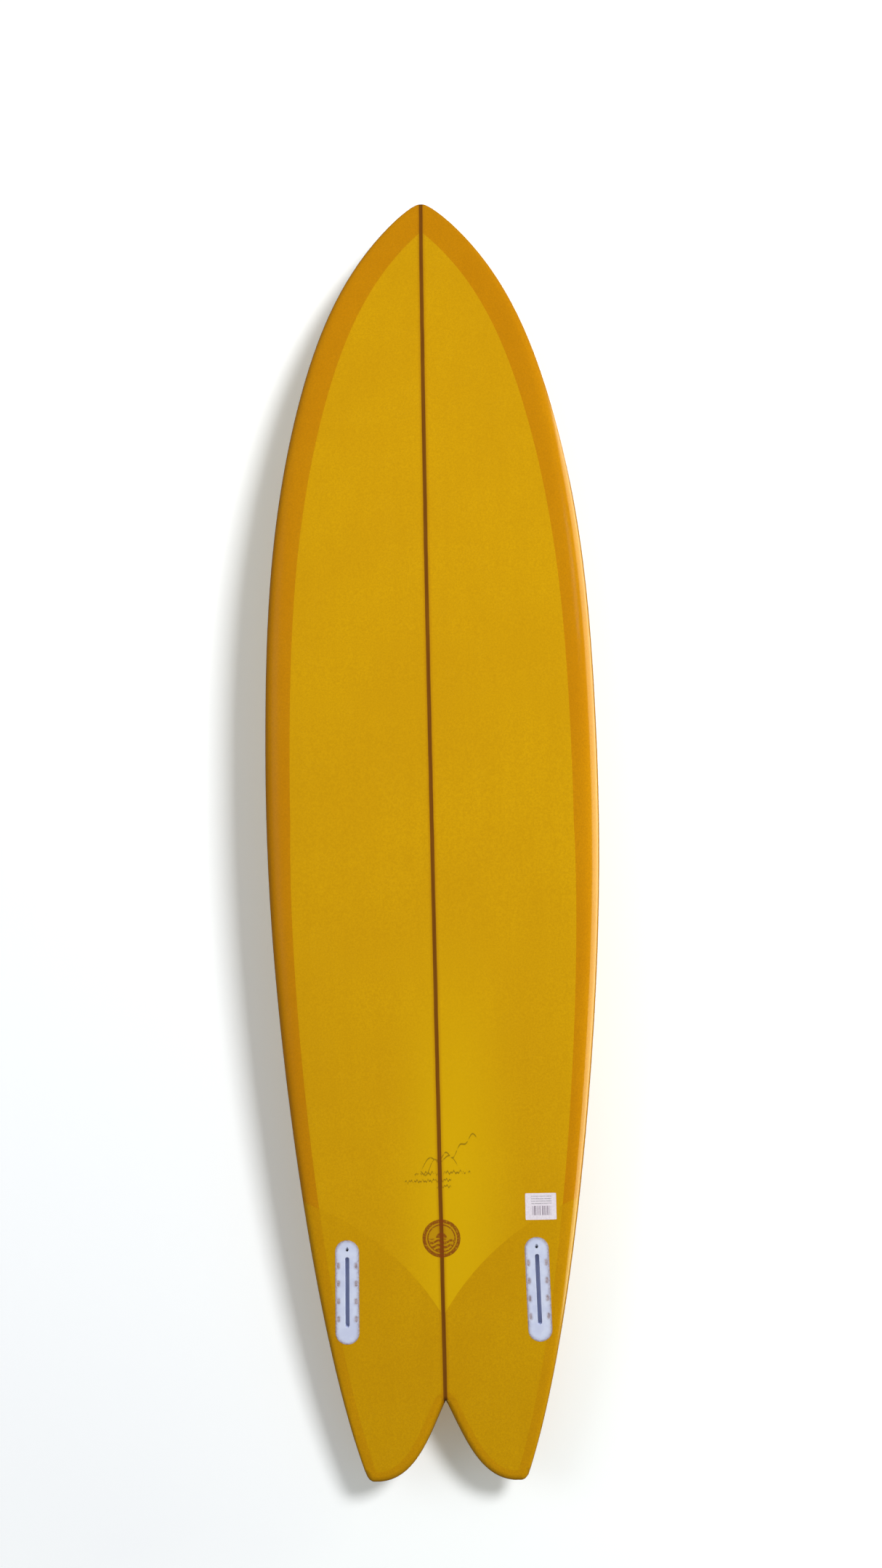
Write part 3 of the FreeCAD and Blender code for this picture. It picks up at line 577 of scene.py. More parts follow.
class Graph:
    """Adds nodes to a node tree, each from its kind, its inputs and its settings."""

    def __init__(self, tree):
        self.tree = tree

    def node(self, kind, inputs=None, **settings):
        made = self.tree.nodes.new("ShaderNode" + kind)
        for name, value in settings.items():
            setattr(made, name, value)
        for name, value in (inputs or {}).items():
            socket = made.inputs[name]
            if isinstance(value, bpy.types.NodeSocket):
                self.tree.links.new(value, socket)
            else:
                socket.default_value = value
        return made

    def math(self, operation, a, b=0.0):
        return self.node("Math", {0: a, 1: b}, operation=operation).outputs[0]

    def times(self, result, *factors):
        for factor in factors:
            result = self.math("MULTIPLY", result, factor)
        return result

    def plus(self, a, b):
        return self.math("ADD", a, b)

    def minus(self, a, b):
        return self.math("SUBTRACT", a, b)

    def most(self, a, b):
        return self.math("MAXIMUM", a, b)

    def unsigned(self, value):
        return self.math("ABSOLUTE", value)

    def between(self, value, low, high, to_low=0.0, to_high=1.0):
        """The value carried smoothly from one range to another, held at the ends."""
        inputs = {"Value": value, "From Min": low, "From Max": high, "To Min": to_low, "To Max": to_high}
        return self.node("MapRange", inputs, interpolation_type="SMOOTHSTEP", clamp=True).outputs[0]

    def mix(self, share, a, b):
        return self.node("Mix", {0: share, 6: a, 7: b}, data_type="RGBA").outputs[2]

    def place(self):
        return self.node("TexCoord").outputs["Object"]

    def axes(self):
        return self.node("SeparateXYZ", {0: self.place()}).outputs

    def stretched(self, x, y, z):
        return self.node("Mapping", {"Vector": self.place(), "Scale": (x, y, z)}).outputs[0]

    def noise(self, scale, detail=3.0, rough=0.55, vector=None):
        inputs = {"Vector": vector or self.place(), "Scale": scale, "Detail": detail, "Roughness": rough}
        return self.node("TexNoise", inputs).outputs[0]

    def bump(self, height, strength, distance, normal=None):
        inputs = {"Height": height, "Strength": strength, "Distance": distance}
        if normal:
            inputs["Normal"] = normal
        return self.node("Bump", inputs).outputs[0]


def group(name, inputs, outputs, build):
    """A shader node group: build gets its graph and its input sockets, and returns the outputs."""
    tree = bpy.data.node_groups.new(name, "ShaderNodeTree")
    for label, value in inputs.items():
        kind = "NodeSocketColor" if isinstance(value, tuple) else "NodeSocketFloat"
        socket = tree.interface.new_socket(label, in_out="INPUT", socket_type=kind)
        socket.default_value = value
    for label, kind in outputs.items():
        tree.interface.new_socket(label, in_out="OUTPUT", socket_type="NodeSocket" + kind)
    graph = Graph(tree)
    ends = tree.nodes.new("NodeGroupInput"), tree.nodes.new("NodeGroupOutput")
    for label, socket in build(graph, ends[0].outputs).items():
        tree.links.new(socket, ends[1].inputs[label])
    return tree


def use(graph, tree, **inputs):
    """Places a node group with its own values, and gives its outputs."""
    made = graph.tree.nodes.new("ShaderNodeGroup")
    made.node_tree = tree
    for label, value in inputs.items():
        socket = made.inputs[label]
        if isinstance(value, bpy.types.NodeSocket):
            graph.tree.links.new(value, socket)
        else:
            socket.default_value = value
    return made.outputs


def material(name, build, **settings):
    """A material whose Principled shader takes its changing inputs from build and the rest as settings."""
    made = bpy.data.materials.new(name)
    made.use_nodes = True
    shader = next(n for n in made.node_tree.nodes if n.type == "BSDF_PRINCIPLED")
    for label, value in settings.items():
        shader.inputs[label.replace("_", " ")].default_value = value
    for label, socket in build(Graph(made.node_tree)).items():
        made.node_tree.links.new(socket, shader.inputs[label])
    return made


# ------------------------------------------------------------------ shared effects
def clouding(graph, given):
    """Tinted resin: soft pools of colour, faint squeegee streaks and fine mottling."""
    pools = graph.between(graph.noise(5.5, 2.0), 0.35, 0.68)
    streaks = graph.between(graph.noise(1.0, 4.0, vector=graph.stretched(60, 60, 5)), 0.35, 0.7)
    grain = graph.between(graph.noise(380.0, 4.0, 0.75), 0.32, 0.68)
    amount = given["Amount"]
    colour = graph.mix(graph.times(pools, amount), given["Colour"], given["Pale"])
    streak_share = graph.times(streaks, amount, 0.12)
    colour = graph.mix(streak_share, colour, given["Deep"])
    grain_share = graph.times(grain, amount, 0.75)
    return {"Color": graph.mix(grain_share, colour, given["Deep"])}


def weave(graph, given):
    """Plain glass cloth: two crossed sets of yarns."""
    x, _, z = graph.axes()
    pitch = given["Pitch"]
    across = graph.math("SINE", graph.math("DIVIDE", x, pitch))
    along = graph.math("SINE", graph.math("DIVIDE", z, pitch))
    return {"Height": graph.times(across, along)}


def speckle(graph, given):
    """Fine pits and dust: a height, and a mask for colour and roughness."""
    fine = graph.noise(given["Scale"], 3.0, 0.65)
    wide = graph.between(graph.noise(22.0, 3.0), 0.35, 0.7)
    mask = graph.times(graph.between(fine, 0.48, 0.72), wide)
    return {"Height": fine, "Mask": mask}


def centre_line(graph, given):
    """The stringer seen through the glass: a dark core and a soft edge."""
    x, _, z = graph.axes()
    wobble = graph.times(graph.minus(graph.noise(14.0, 2.0), 0.5), 0.0012)
    away = graph.unsigned(graph.plus(x, wobble))
    half = STRINGER / 2
    core = graph.between(away, half - 0.7 * MM, half + 0.7 * MM, 1.0, 0.0)
    edge = graph.between(away, half, half + 5.5 * MM, 1.0, 0.0)
    grain = graph.between(graph.noise(1.0, 4.0, vector=graph.stretched(1500, 60, 10)), 0.3, 0.75)
    return {"Core": core, "Edge": edge, "Grain": grain}


SCRIBBLES = (  # level, swing, waves per metre, lean, from x, to x, thickness: a flourish and three rows
    (-0.5435, 0.010, 210.0, 0.62, -0.034, 0.064, 2.3 * MM),
    (-0.5465, 0.014, 130.0, 0.10, -0.030, 0.030, 2.0 * MM),
    (-0.5640, 0.0028, 900.0, 0.02, -0.042, 0.052, 2.5 * MM),
    (-0.5760, 0.0026, 1050.0, 0.03, -0.058, 0.020, 2.3 * MM),
    (-0.5860, 0.0024, 1000.0, 0.02, -0.006, 0.020, 2.2 * MM),
)


def pencil(graph, given):
    """Loose shaping scribbles drawn in pencil on the foam before glassing, too loose to read."""
    x, _, z = graph.axes()
    total = None
    for level, swing, pace, lean, low, high, thin in SCRIBBLES:
        wave = graph.math("SINE", graph.times(x, pace))
        wave = graph.times(wave, graph.math("SINE", graph.times(x, pace * 0.37)))
        line = graph.plus(graph.times(wave, swing), level)
        line = graph.plus(line, graph.times(x, lean))
        gap = graph.unsigned(graph.minus(z, line))
        stroke = graph.between(gap, 0.2 * MM, thin, 1.0, 0.0)
        start = graph.between(x, low, low + 2 * MM)
        end = graph.between(x, high - 4 * MM, high, 1.0, 0.0)
        stroke = graph.times(stroke, graph.times(start, end))
        total = stroke if total is None else graph.most(total, stroke)
    pressure = graph.between(graph.noise(120.0, 3.0), 0.36, 0.52)
    return {"Mask": graph.times(total, pressure)}


COLOUR_INPUTS = {label: (0.8, 0.8, 0.8, 1.0) for label in ("Colour", "Pale", "Deep")}
RESIN_CLOUDING = group("Resin Clouding", {**COLOUR_INPUTS, "Amount": 1.0}, {"Color": "Color"}, clouding)
GLASS_WEAVE = group("Glass Weave", {"Pitch": 0.3 * MM}, {"Height": "Float"}, weave)
DUST = group("Dust and Pits", {"Scale": 900.0}, {"Height": "Float", "Mask": "Float"}, speckle)
CENTRE_LINE = group("Centre Line", {}, {"Core": "Float", "Edge": "Float", "Grain": "Float"}, centre_line)
PENCIL = group("Pencil Marks", {}, {"Mask": "Float"}, pencil)


# ------------------------------------------------------------------ finishes
# Painted light: the bottom's glass is painted paler and yellower in a pool ahead of the tail, right of the
# stringer, where the light falls brighter.
LIGHT_POOL_X = 25 * MM  # middle of the painted pool of light ahead of the tail
LIGHT_POOL_REACH = 130 * MM
LIGHT_POOL_TAIL, LIGHT_POOL_NOSE = -620 * MM, -50 * MM


def tinted(colour, pale, deep, pencil_and_light_pool=False):
    """Builder for a tinted, coated skin of glass with the stringer showing through; its last switch adds
    pencil scribbles and a painted pool of light ahead of the tail.
    """

    def build(graph):
        resin = use(graph, RESIN_CLOUDING, Colour=colour, Pale=pale, Deep=deep)
        result = resin["Color"]
        if pencil_and_light_pool:
            # painted pool of light: paler glass ahead of the tail, fading to the sides and towards the nose
            x, _, z = graph.axes()
            aside = graph.between(graph.unsigned(graph.minus(x, LIGHT_POOL_X)), 0.0, LIGHT_POOL_REACH, 1.0, 0.0)
            astern = graph.between(z, LIGHT_POOL_TAIL, LIGHT_POOL_NOSE, 1.0, 0.0)
            light_pool = graph.times(aside, astern, 0.75)
            result = graph.mix(light_pool, result, tone(212, 169, 0))
            mask = use(graph, PENCIL)["Mask"]
            result = graph.mix(graph.times(mask, 0.85), result, tone(128, 96, 12))
        line = use(graph, CENTRE_LINE)
        result = graph.mix(graph.times(line["Edge"], 0.42), result, tone(165, 105, 4))
        wood = graph.mix(line["Grain"], tone(104, 58, 10), tone(126, 78, 14))
        result = graph.mix(line["Core"], result, wood)
        dust = use(graph, DUST, Scale=1300.0)
        cloth = use(graph, GLASS_WEAVE, Pitch=0.24 * MM)
        rough = graph.between(dust["Mask"], 0.0, 1.0, 0.2, 0.34)
        normal = graph.bump(cloth["Height"], 0.12, 0.02 * MM)
        normal = graph.bump(graph.noise(16.0, 2.0), 0.15, 0.6 * MM, normal)
        return {"Base Color": result, "Roughness": rough, "Normal": normal}

    return build


GLOSS = {"IOR": 1.5, "Specular_IOR_Level": 0.22, "Coat_Weight": 0.3, "Coat_Roughness": 0.12}


def glass(name, colour, pale, deep, pencil_and_light_pool=False):
    """A coated glass material from its tint and the tint's pale and deep ends, with pencil scribbles and a
    painted pool of light if asked.
    """
    return material(name, tinted(tone(*colour), tone(*pale), tone(*deep), pencil_and_light_pool), **GLOSS)


BOTTOM_TINT = ((201, 151, 3), (205, 156, 2), (185, 135, 0))
# The bottom's glass has pencil scribbles and a painted pool of light ahead of the tail.
BOTTOM_GLASS = glass("Bottom glass, golden tint, painted pool of light", *BOTTOM_TINT, pencil_and_light_pool=True)
BAND_GLASS = glass("Lapped glass, double tint", (192, 127, 0), (196, 133, 0), (174, 114, 0))
TAIL_BAND_GLASS = glass("Lapped glass round the tail", (194, 139, 0), (199, 144, 0), (174, 121, 0))
DECK_GLASS = glass("Deck glass, golden tint", (202, 151, 3), (207, 157, 3), (186, 135, 0))
PATCH_GLASS = glass("Tail patch glass, olive tint", (198, 148, 0), (202, 153, 0), (180, 130, 0))


def cloth_only(graph):
    resin = use(
        graph,
        RESIN_CLOUDING,
        Colour=tone(216, 172, 40),
        Pale=tone(224, 186, 70),
        Deep=tone(198, 150, 20),
        Amount=0.8,
    )
    cloth = use(graph, GLASS_WEAVE, Pitch=0.3 * MM)
    rough = graph.between(cloth["Height"], -1.0, 1.0, 0.3, 0.45)
    return {
        "Base Color": resin["Color"],
        "Roughness": rough,
        "Normal": graph.bump(cloth["Height"], 0.5, 0.05 * MM),
    }


def foam_look(graph):
    cells = graph.node("TexVoronoi", {"Vector": graph.place(), "Scale": 2200.0}).outputs["Distance"]
    sanding = graph.noise(1.0, 3.0, vector=graph.stretched(300, 300, 25))
    colour = graph.mix(graph.between(sanding, 0.3, 0.7), tone(246, 243, 232), tone(235, 230, 214))
    rough = graph.between(cells, 0.0, 1.0, 0.85, 0.98)
    return {"Base Color": colour, "Roughness": rough, "Normal": graph.bump(cells, 0.4, 0.1 * MM)}


def wood_look(graph):
    rings = graph.noise(1.0, 4.0, 0.6, graph.stretched(520, 90, 5))
    colour = graph.mix(graph.between(rings, 0.3, 0.7), tone(196, 160, 112), tone(150, 106, 62))
    return {
        "Base Color": colour,
        "Roughness": graph.between(rings, 0.0, 1.0, 0.5, 0.7),
        "Normal": graph.bump(rings, 0.3, 0.1 * MM),
    }


def glue_look(graph):
    dust = use(graph, DUST, Scale=600.0)
    colour = graph.mix(dust["Mask"], tone(120, 78, 34), tone(90, 52, 20))
    return {"Base Color": colour, "Roughness": graph.between(dust["Height"], 0.0, 1.0, 0.3, 0.5)}


def moulded(pale, deep):
    """Builder for moulded plastic: faint flow clouds, a spark-eroded grain and dust in the pits."""

    def build(graph):
        dust = use(graph, DUST, Scale=1400.0)
        flow = graph.between(graph.noise(60.0, 2.0), 0.35, 0.65)
        colour = graph.mix(graph.times(flow, 0.6), pale, deep)
        colour = graph.mix(graph.times(dust["Mask"], 0.35), colour, deep)
        rough = graph.between(dust["Mask"], 0.0, 1.0, 0.32, 0.5)
        return {
            "Base Color": colour,
            "Roughness": rough,
            "Normal": graph.bump(dust["Height"], 0.12, 0.03 * MM),
        }

    return build


def box_look(graph):
    """Moulded plastic under a skim of resin: white round the slot, clouded lavender at the rim."""
    build = moulded(tone(205, 211, 232), tone(188, 194, 222))(graph)
    fade = graph.node("Attribute", attribute_name="fade").outputs["Fac"]
    froth = graph.between(graph.noise(260.0, 4.0, 0.7), 0.3, 0.7)
    share = graph.times(fade, graph.between(froth, 0.0, 1.0, 0.45, 1.0))
    build["Base Color"] = graph.mix(share, build["Base Color"], tone(150, 138, 150))
    return build


def bed_look(graph):
    """Set resin with trapped froth: cloudy, greyish, darker in the hollows."""
    dust = use(graph, DUST, Scale=500.0)
    froth = graph.between(graph.noise(230.0, 4.0, 0.7), 0.35, 0.65)
    colour = graph.mix(froth, tone(146, 132, 138), tone(178, 166, 176))
    colour = graph.mix(graph.times(dust["Mask"], 0.4), colour, tone(132, 112, 98))
    rough = graph.between(froth, 0.0, 1.0, 0.22, 0.45)
    return {"Base Color": colour, "Roughness": rough, "Normal": graph.bump(froth, 0.3, 0.1 * MM)}


def steel_look(graph):
    turning = graph.noise(1.0, 3.0, vector=graph.stretched(3000, 3000, 9000))
    colour = graph.mix(graph.between(turning, 0.3, 0.7), tone(176, 178, 182), tone(140, 142, 148))
    rough = graph.between(turning, 0.2, 0.8, 0.22, 0.4)
    return {"Base Color": colour, "Roughness": rough, "Normal": graph.bump(turning, 0.15, 0.02 * MM)}


LAMINATE_CLOTH = material("Laminate cloth, golden tint", cloth_only, IOR=1.5)
FOAM = material("Blank foam", foam_look, Specular_IOR_Level=0.2)
STRINGER_WOOD = material("Stringer wood", wood_look)
GLUE_LINE = material("Glue line", glue_look, IOR=1.5)
BOX_PLASTIC = material("Fin box plastic", box_look, IOR=1.52, Specular_IOR_Level=0.3)
# Painted light: the slot's plastic is painted paler than the box's own, standing in for light that the deep
# slot's shade keeps out.
SLOT_PLASTIC_PAINTED_LIGHT = material(
    "Fin slot plastic, painted lighter against its shade",
    moulded(tone(222, 228, 250), tone(206, 214, 244)),
    IOR=1.52,
)
PLUG_PLASTIC = material("Leash plug plastic", moulded(tone(232, 232, 230), tone(206, 206, 208)), IOR=1.5)
BAR_STEEL = material("Leash bar steel", steel_look, Metallic=1.0)
BED_RESIN = material("Bedding resin", bed_look, IOR=1.53, Coat_Weight=0.3, Coat_Roughness=0.1)
SCREW_STEEL = material("Screw steel", steel_look, Metallic=1.0)

LABEL_X, LABEL_Z = 162 * MM, 446 * MM - HALF
LABEL_WIDE, LABEL_HIGH, LABEL_THICKNESS = 50 * MM, 43 * MM, 0.2 * MM


def label_look(graph):
    """Plain price label: grey dashes in rows over a block of stripes."""
    x, _, z = graph.axes()
    u = graph.math("DIVIDE", graph.minus(x, LABEL_X), LABEL_WIDE)
    v = graph.math("DIVIDE", graph.minus(z, LABEL_Z), LABEL_HIGH)
    inside = graph.between(graph.unsigned(graph.minus(u, 0.02)), 0.32, 0.325, 1.0, 0.0)
    rows = graph.math("SINE", graph.times(v, 70.0))
    rows = graph.between(rows, 0.2, 0.5)
    upper = graph.between(v, 0.06, 0.07)
    top = graph.between(v, 0.40, 0.41, 1.0, 0.0)
    lengths = graph.between(graph.noise(1.0, 2.0, vector=graph.stretched(900, 0, 230)), 0.42, 0.46)
    dashes = graph.times(rows, upper, graph.times(top, lengths))
    widths = graph.between(graph.noise(1.0, 1.0, vector=graph.stretched(900, 0, 0)), 0.47, 0.5, 1.0, 0.0)
    low = graph.times(graph.between(v, 0.02, 0.025, 1.0, 0.0), graph.between(v, -0.33, -0.325))
    bars = graph.times(widths, low)
    paper = graph.mix(
        graph.between(graph.noise(350.0, 4.0), 0.3, 0.7),
        tone(228, 220, 228),
        tone(216, 206, 216),
    )
    colour = graph.mix(graph.times(dashes, inside, 0.6), paper, tone(112, 108, 116))
    colour = graph.mix(graph.times(bars, inside, 0.85), colour, tone(74, 44, 78))
    fibres = graph.noise(1600.0, 3.0)
    return {
        "Base Color": colour,
        "Roughness": graph.between(fibres, 0.2, 0.8, 0.42, 0.6),
        "Normal": graph.bump(fibres, 0.15, 0.03 * MM),
    }


def decal_look(graph):
    """The bottom's tinted glass over a plain printed roundel: two rings round a field of waves."""
    x, _, z = graph.axes()
    up = graph.minus(z, DECAL_Z)
    away = graph.math("SQRT", graph.plus(graph.times(x, x), graph.times(up, up)))
    rings = None
    for radius, width in ((28.0 * MM, 2.6 * MM), (22.0 * MM, 0.9 * MM)):
        gap = graph.unsigned(graph.minus(away, radius))
        ring = graph.between(gap, width, width + 0.5 * MM, 1.0, 0.0)
        rings = ring if rings is None else graph.most(rings, ring)
    swell = graph.times(graph.math("SINE", graph.times(x, 300.0)), 2.0 * MM)
    stripes = graph.math("SINE", graph.times(graph.plus(up, swell), 880.0))
    waves = graph.times(
        graph.between(stripes, -0.5, 0.1),
        graph.between(away, 21 * MM, 21.6 * MM, 1.0, 0.0),
    )
    lower = graph.between(up, -1 * MM, 1 * MM, 1.0, 0.0)
    sun_gap = graph.minus(away, 9 * MM)
    sun = graph.times(
        graph.between(sun_gap, 0.0, 0.6 * MM, 1.0, 0.0),
        graph.between(up, 0.5 * MM, 1.5 * MM),
    )
    print_mask = graph.most(rings, graph.most(graph.times(waves, lower), sun))
    worn = graph.between(graph.noise(420.0, 4.0, 0.7), 0.28, 0.5)
    disc = graph.between(away, 29.5 * MM, 31.5 * MM, 0.34, 0.0)
    print_mask = graph.most(graph.times(print_mask, worn, 0.9), disc)
    # The glass over the decal has the bottom's pencil scribbles and painted pool of light.
    base = tinted(*(tone(*tint) for tint in BOTTOM_TINT), pencil_and_light_pool=True)(graph)
    base["Base Color"] = graph.mix(print_mask, base["Base Color"], tone(126, 58, 16))
    return base


LABEL_PAPER = material("Price label paper", label_look, Specular_IOR_Level=0.35)
DECAL_PRINT = material("Printed decal under glass", decal_look, **GLOSS)


# ------------------------------------------------------------------ outer skins
def stacked(index, walls):
    """Material numbers of a shelled skin: outside, inside, then its walls."""
    return np.concatenate([index, index, np.zeros(walls, int)])


outer = hull_skin(0.0, *OUTER_MESH)
outer.split(rail_distance(outer.verts) - lap_width(outer.verts[:, 2]))
outer.split(tail_distance(outer.verts) - LAP_TAIL)
outer.split(rail_distance(outer.verts) - DECK_LAP)
outer.split(outer.verts[:, 2] - (SWALLOW + DECK_LAP - HALF))
outer.split(in_patch(outer.verts))
outer.split(in_decal(outer.verts, outer.around))
outer = cut_fittings(outer)
outer.work_out_normals()

middles, rounds = outer.middles(), outer.around[outer.tris].mean(1)
in_window = bare_bottom(middles, rounds) > 0
behind_arc = in_patch(middles) > 0
in_disc = in_decal(middles, rounds) > 0
right_half = middles[:, 0] > 0

hot_coat = shelled(outer.keep(in_window & ~behind_arc & ~in_disc), GLASS)
piece("bottom_coat", hot_coat, "board", ["bottom_hot_coat"], [BOTTOM_GLASS])
decal = shelled(outer.keep(in_window & in_disc), GLASS)
piece("printed_decal", decal, "board", ["maker_decal"], [DECAL_PRINT])
for side_name, mask in (("left", ~right_half), ("right", right_half)):
    patch = shelled(outer.keep(in_window & behind_arc & mask), GLASS)
    piece(f"patch_{side_name}", patch, "board", [f"tail_patch_{side_name}"], [PATCH_GLASS])
deck_skin = outer.keep(~in_window)
deck_middles, deck_rounds = deck_skin.middles(), deck_skin.around[deck_skin.tris].mean(1)
single = bare_deck(deck_middles, deck_rounds) > 0
tail_band = (in_patch(deck_middles) > 0) & (deck_rounds < 0.5)
deck_shell = shelled(deck_skin, GLASS)
walls = len(deck_shell.tris) - 2 * len(deck_skin.tris)
piece(
    "deck_and_rail_glass",
    deck_shell,
    "board",
    ["deck_laminate"],
    [BAND_GLASS, DECK_GLASS, TAIL_BAND_GLASS],
    faces=stacked(single + 2 * tail_band, walls),
)

# ------------------------------------------------------------------ layers underneath
inner = hull_skin(GLASS, *INNER_MESH)
inner.split(rail_distance(inner.verts) - DECK_LAP)
inner.split(inner.verts[:, 2] - (SWALLOW + DECK_LAP - HALF))
inner = cut_fittings(inner)
inner.work_out_normals()
single = bare_deck(inner.middles(), inner.around[inner.tris].mean(1)) > 0
piece(
    "bottom_cloth",
    shelled(inner.keep(~single), GLASS),
    "board",
    ["bottom_laminate"],
    [LAMINATE_CLOTH],
)
piece(
    "deck_cloth",
    shelled(inner.keep(single), GLASS),
    "board",
    ["deck_patch"],
    [LAMINATE_CLOTH],
)


def to_middle(points):
    """A ring function: points go to the board's middle surface."""
    return np.stack([points[:, 0], bottom(points[:, 2]) + 0.5 * thick(points[:, 2]), points[:, 2]], 1)


def rim_near(skin, values, tolerance=0.5 * MM):
    """The rim edges whose both ends have a value near nought."""
    edges = skin.rim()
    return edges[(np.abs(values[edges]) < tolerance).all(1)]


core = cut_fittings(hull_skin(2 * GLASS, *INNER_MESH))
glue_edge = STRINGER / 2 + GLUE
for level in (STRINGER / 2, glue_edge):
    for side in SIDES.values():
        core.split(side * core.verts[:, 0] - level)
across = core.middles()[:, 0]


def slab(low, high):
    """The part of the core between two planes along the board, with its cut sides closed."""
    made = core.keep((across > low) & (across < high))
    for level in (low, high):
        if abs(level) < HALF_WIDTH:
            made.add_rings(rim_near(made, made.verts[:, 0] - level, 0.001 * MM), [to_middle])
    return made


piece(
    "stringer_board",
    slab(-STRINGER / 2, STRINGER / 2),
    "board",
    ["stringer"],
    [STRINGER_WOOD],
    sharp=40,
)
for side_name, side in SIDES.items():
    low, high = sorted((side * STRINGER / 2, side * glue_edge))
    line = slab(low, high)
    piece(
        f"glue_line_{side_name}",
        line,
        "board",
        [f"stringer_glue_{side_name}"],
        [GLUE_LINE],
        sharp=40,
    )
    low, high = sorted((side * glue_edge, side * 1.0))
    half = slab(low, high)
    place = fin_place(side)
    half.moved(place.inverted())
    rout = rim_near(half, stadium(half.verts, FLANGE_RUN, FLANGE_RADIUS + BED), 1.5 * MM)
    rings = [
        ring_to(FLANGE_RUN, FLANGE_RUN, FLANGE_RADIUS + BED, -FLANGE_THICKNESS - BED),
        ring_to(FLANGE_RUN, BOX_RUN, BOX_RADIUS + BED, -FLANGE_THICKNESS - BED),
        ring_to(FLANGE_RUN, BOX_RUN, BOX_RADIUS + BED, -BOX_DEPTH - BED),
        ring_to(FLANGE_RUN, BOX_RUN, 0.1 * MM, -BOX_DEPTH - BED),
    ]
    half.add_rings(rout, rings).moved(place)
    piece(f"foam_{side_name}", half, "board", [f"foam_half_{side_name}"], [FOAM], sharp=40)


# ------------------------------------------------------------------ fin boxes
SCREW_MOUTH = np.array([0, SLOT_RUN / 2 + SLOT_RADIUS + SCREW_AHEAD, 0])
SCREW_WAY = np.array([0, -math.sin(SCREW_LEAN), -math.cos(SCREW_LEAN)])
RIM_CLOUD, KEY_CLOUD = 5.5 * MM, 3 * MM  # how far clouded resin reaches over the plastic
HOLE_REACH = 23.5 * MM  # past where the screw hole breaks into the slot


def screw_hole_distance(points):
    """Distance outside the slanted screw hole, in the fin box's own frame."""
    away = points - SCREW_MOUTH
    along = away @ SCREW_WAY
    aside = np.linalg.norm(away - along[:, None] * SCREW_WAY, axis=1) - SCREW_HOLE
    return np.maximum(aside, along - HOLE_REACH)


def eased(distance, radius):
    """How far a rounded edge drops at this distance in from it."""
    gap = np.clip(radius - distance, 0, radius)
    return radius - np.sqrt(radius**2 - gap**2)


def keys(points):
    """Distance outside the nearest resin key hole."""
    spots = [(x, n * KEY_PITCH) for x in (-KEY_ACROSS, KEY_ACROSS) for n in (-1.5, -0.5, 0.5, 1.5)]
    return np.min([stadium(points, KEY_RUN, KEY_RADIUS, x, y) for x, y in spots], axis=0)


def fin_face():
    """The flange's face as a fine flat plate, cut round its rim, its slot and its key holes."""
    x = np.arange(-19.5, 19.6, 1.0) * MM
    y = np.arange(-84.5, 84.6, 1.0) * MM
    points = np.stack(np.meshgrid(x, y) + [np.zeros((len(y), len(x)))], 2).reshape(-1, 3)
    face = Skin(points, grid(len(y), len(x)))
    for level in np.array([0, 0.12, 0.3, 0.6]) * MM:
        face.split(stadium(face.verts, FLANGE_RUN, FLANGE_RADIUS) + level)
        face.split(stadium(face.verts, SLOT_RUN, SLOT_RADIUS) - level)
    for level in (-0.3 * MM, 0, 0.3 * MM):
        face.split(keys(face.verts) - level)
    middles = face.middles()
    in_flange = stadium(middles, FLANGE_RUN, FLANGE_RADIUS) < 0
    inside = in_flange & (stadium(middles, SLOT_RUN, SLOT_RADIUS) > 0)
    face = face.keep(inside)
    face.verts[:, 2] -= eased(-stadium(face.verts, FLANGE_RUN, FLANGE_RADIUS), 0.6 * MM)
    face.verts[:, 2] -= eased(stadium(face.verts, SLOT_RUN, SLOT_RADIUS), 0.6 * MM)
    face.verts[:, 2] -= 0.12 * MM * np.clip(1 - keys(face.verts) / (0.3 * MM), 0, 1)
    return face


def screw_tube():
    """The slanted hole's wall, trimmed to the face and to the slot."""
    turns, steps = 40, 60
    angle = np.linspace(0, 2 * math.pi, turns, endpoint=False)
    along = np.linspace(-4 * MM, HOLE_REACH, steps)
    side = np.array([1.0, 0, 0])
    over = np.cross(SCREW_WAY, side)
    round_way = np.cos(angle)[:, None] * side + np.sin(angle)[:, None] * over
    points = SCREW_MOUTH + along[:, None, None] * SCREW_WAY + SCREW_HOLE * round_way[None]
    tube = Skin(points.reshape(-1, 3), grid(steps, turns, closed=True))
    tube.split(tube.verts[:, 2])
    tube.split(stadium(tube.verts, SLOT_RUN, SLOT_RADIUS))
    middles = tube.middles()
    return tube.keep((middles[:, 2] < 0) & (stadium(middles, SLOT_RUN, SLOT_RADIUS) > 0))


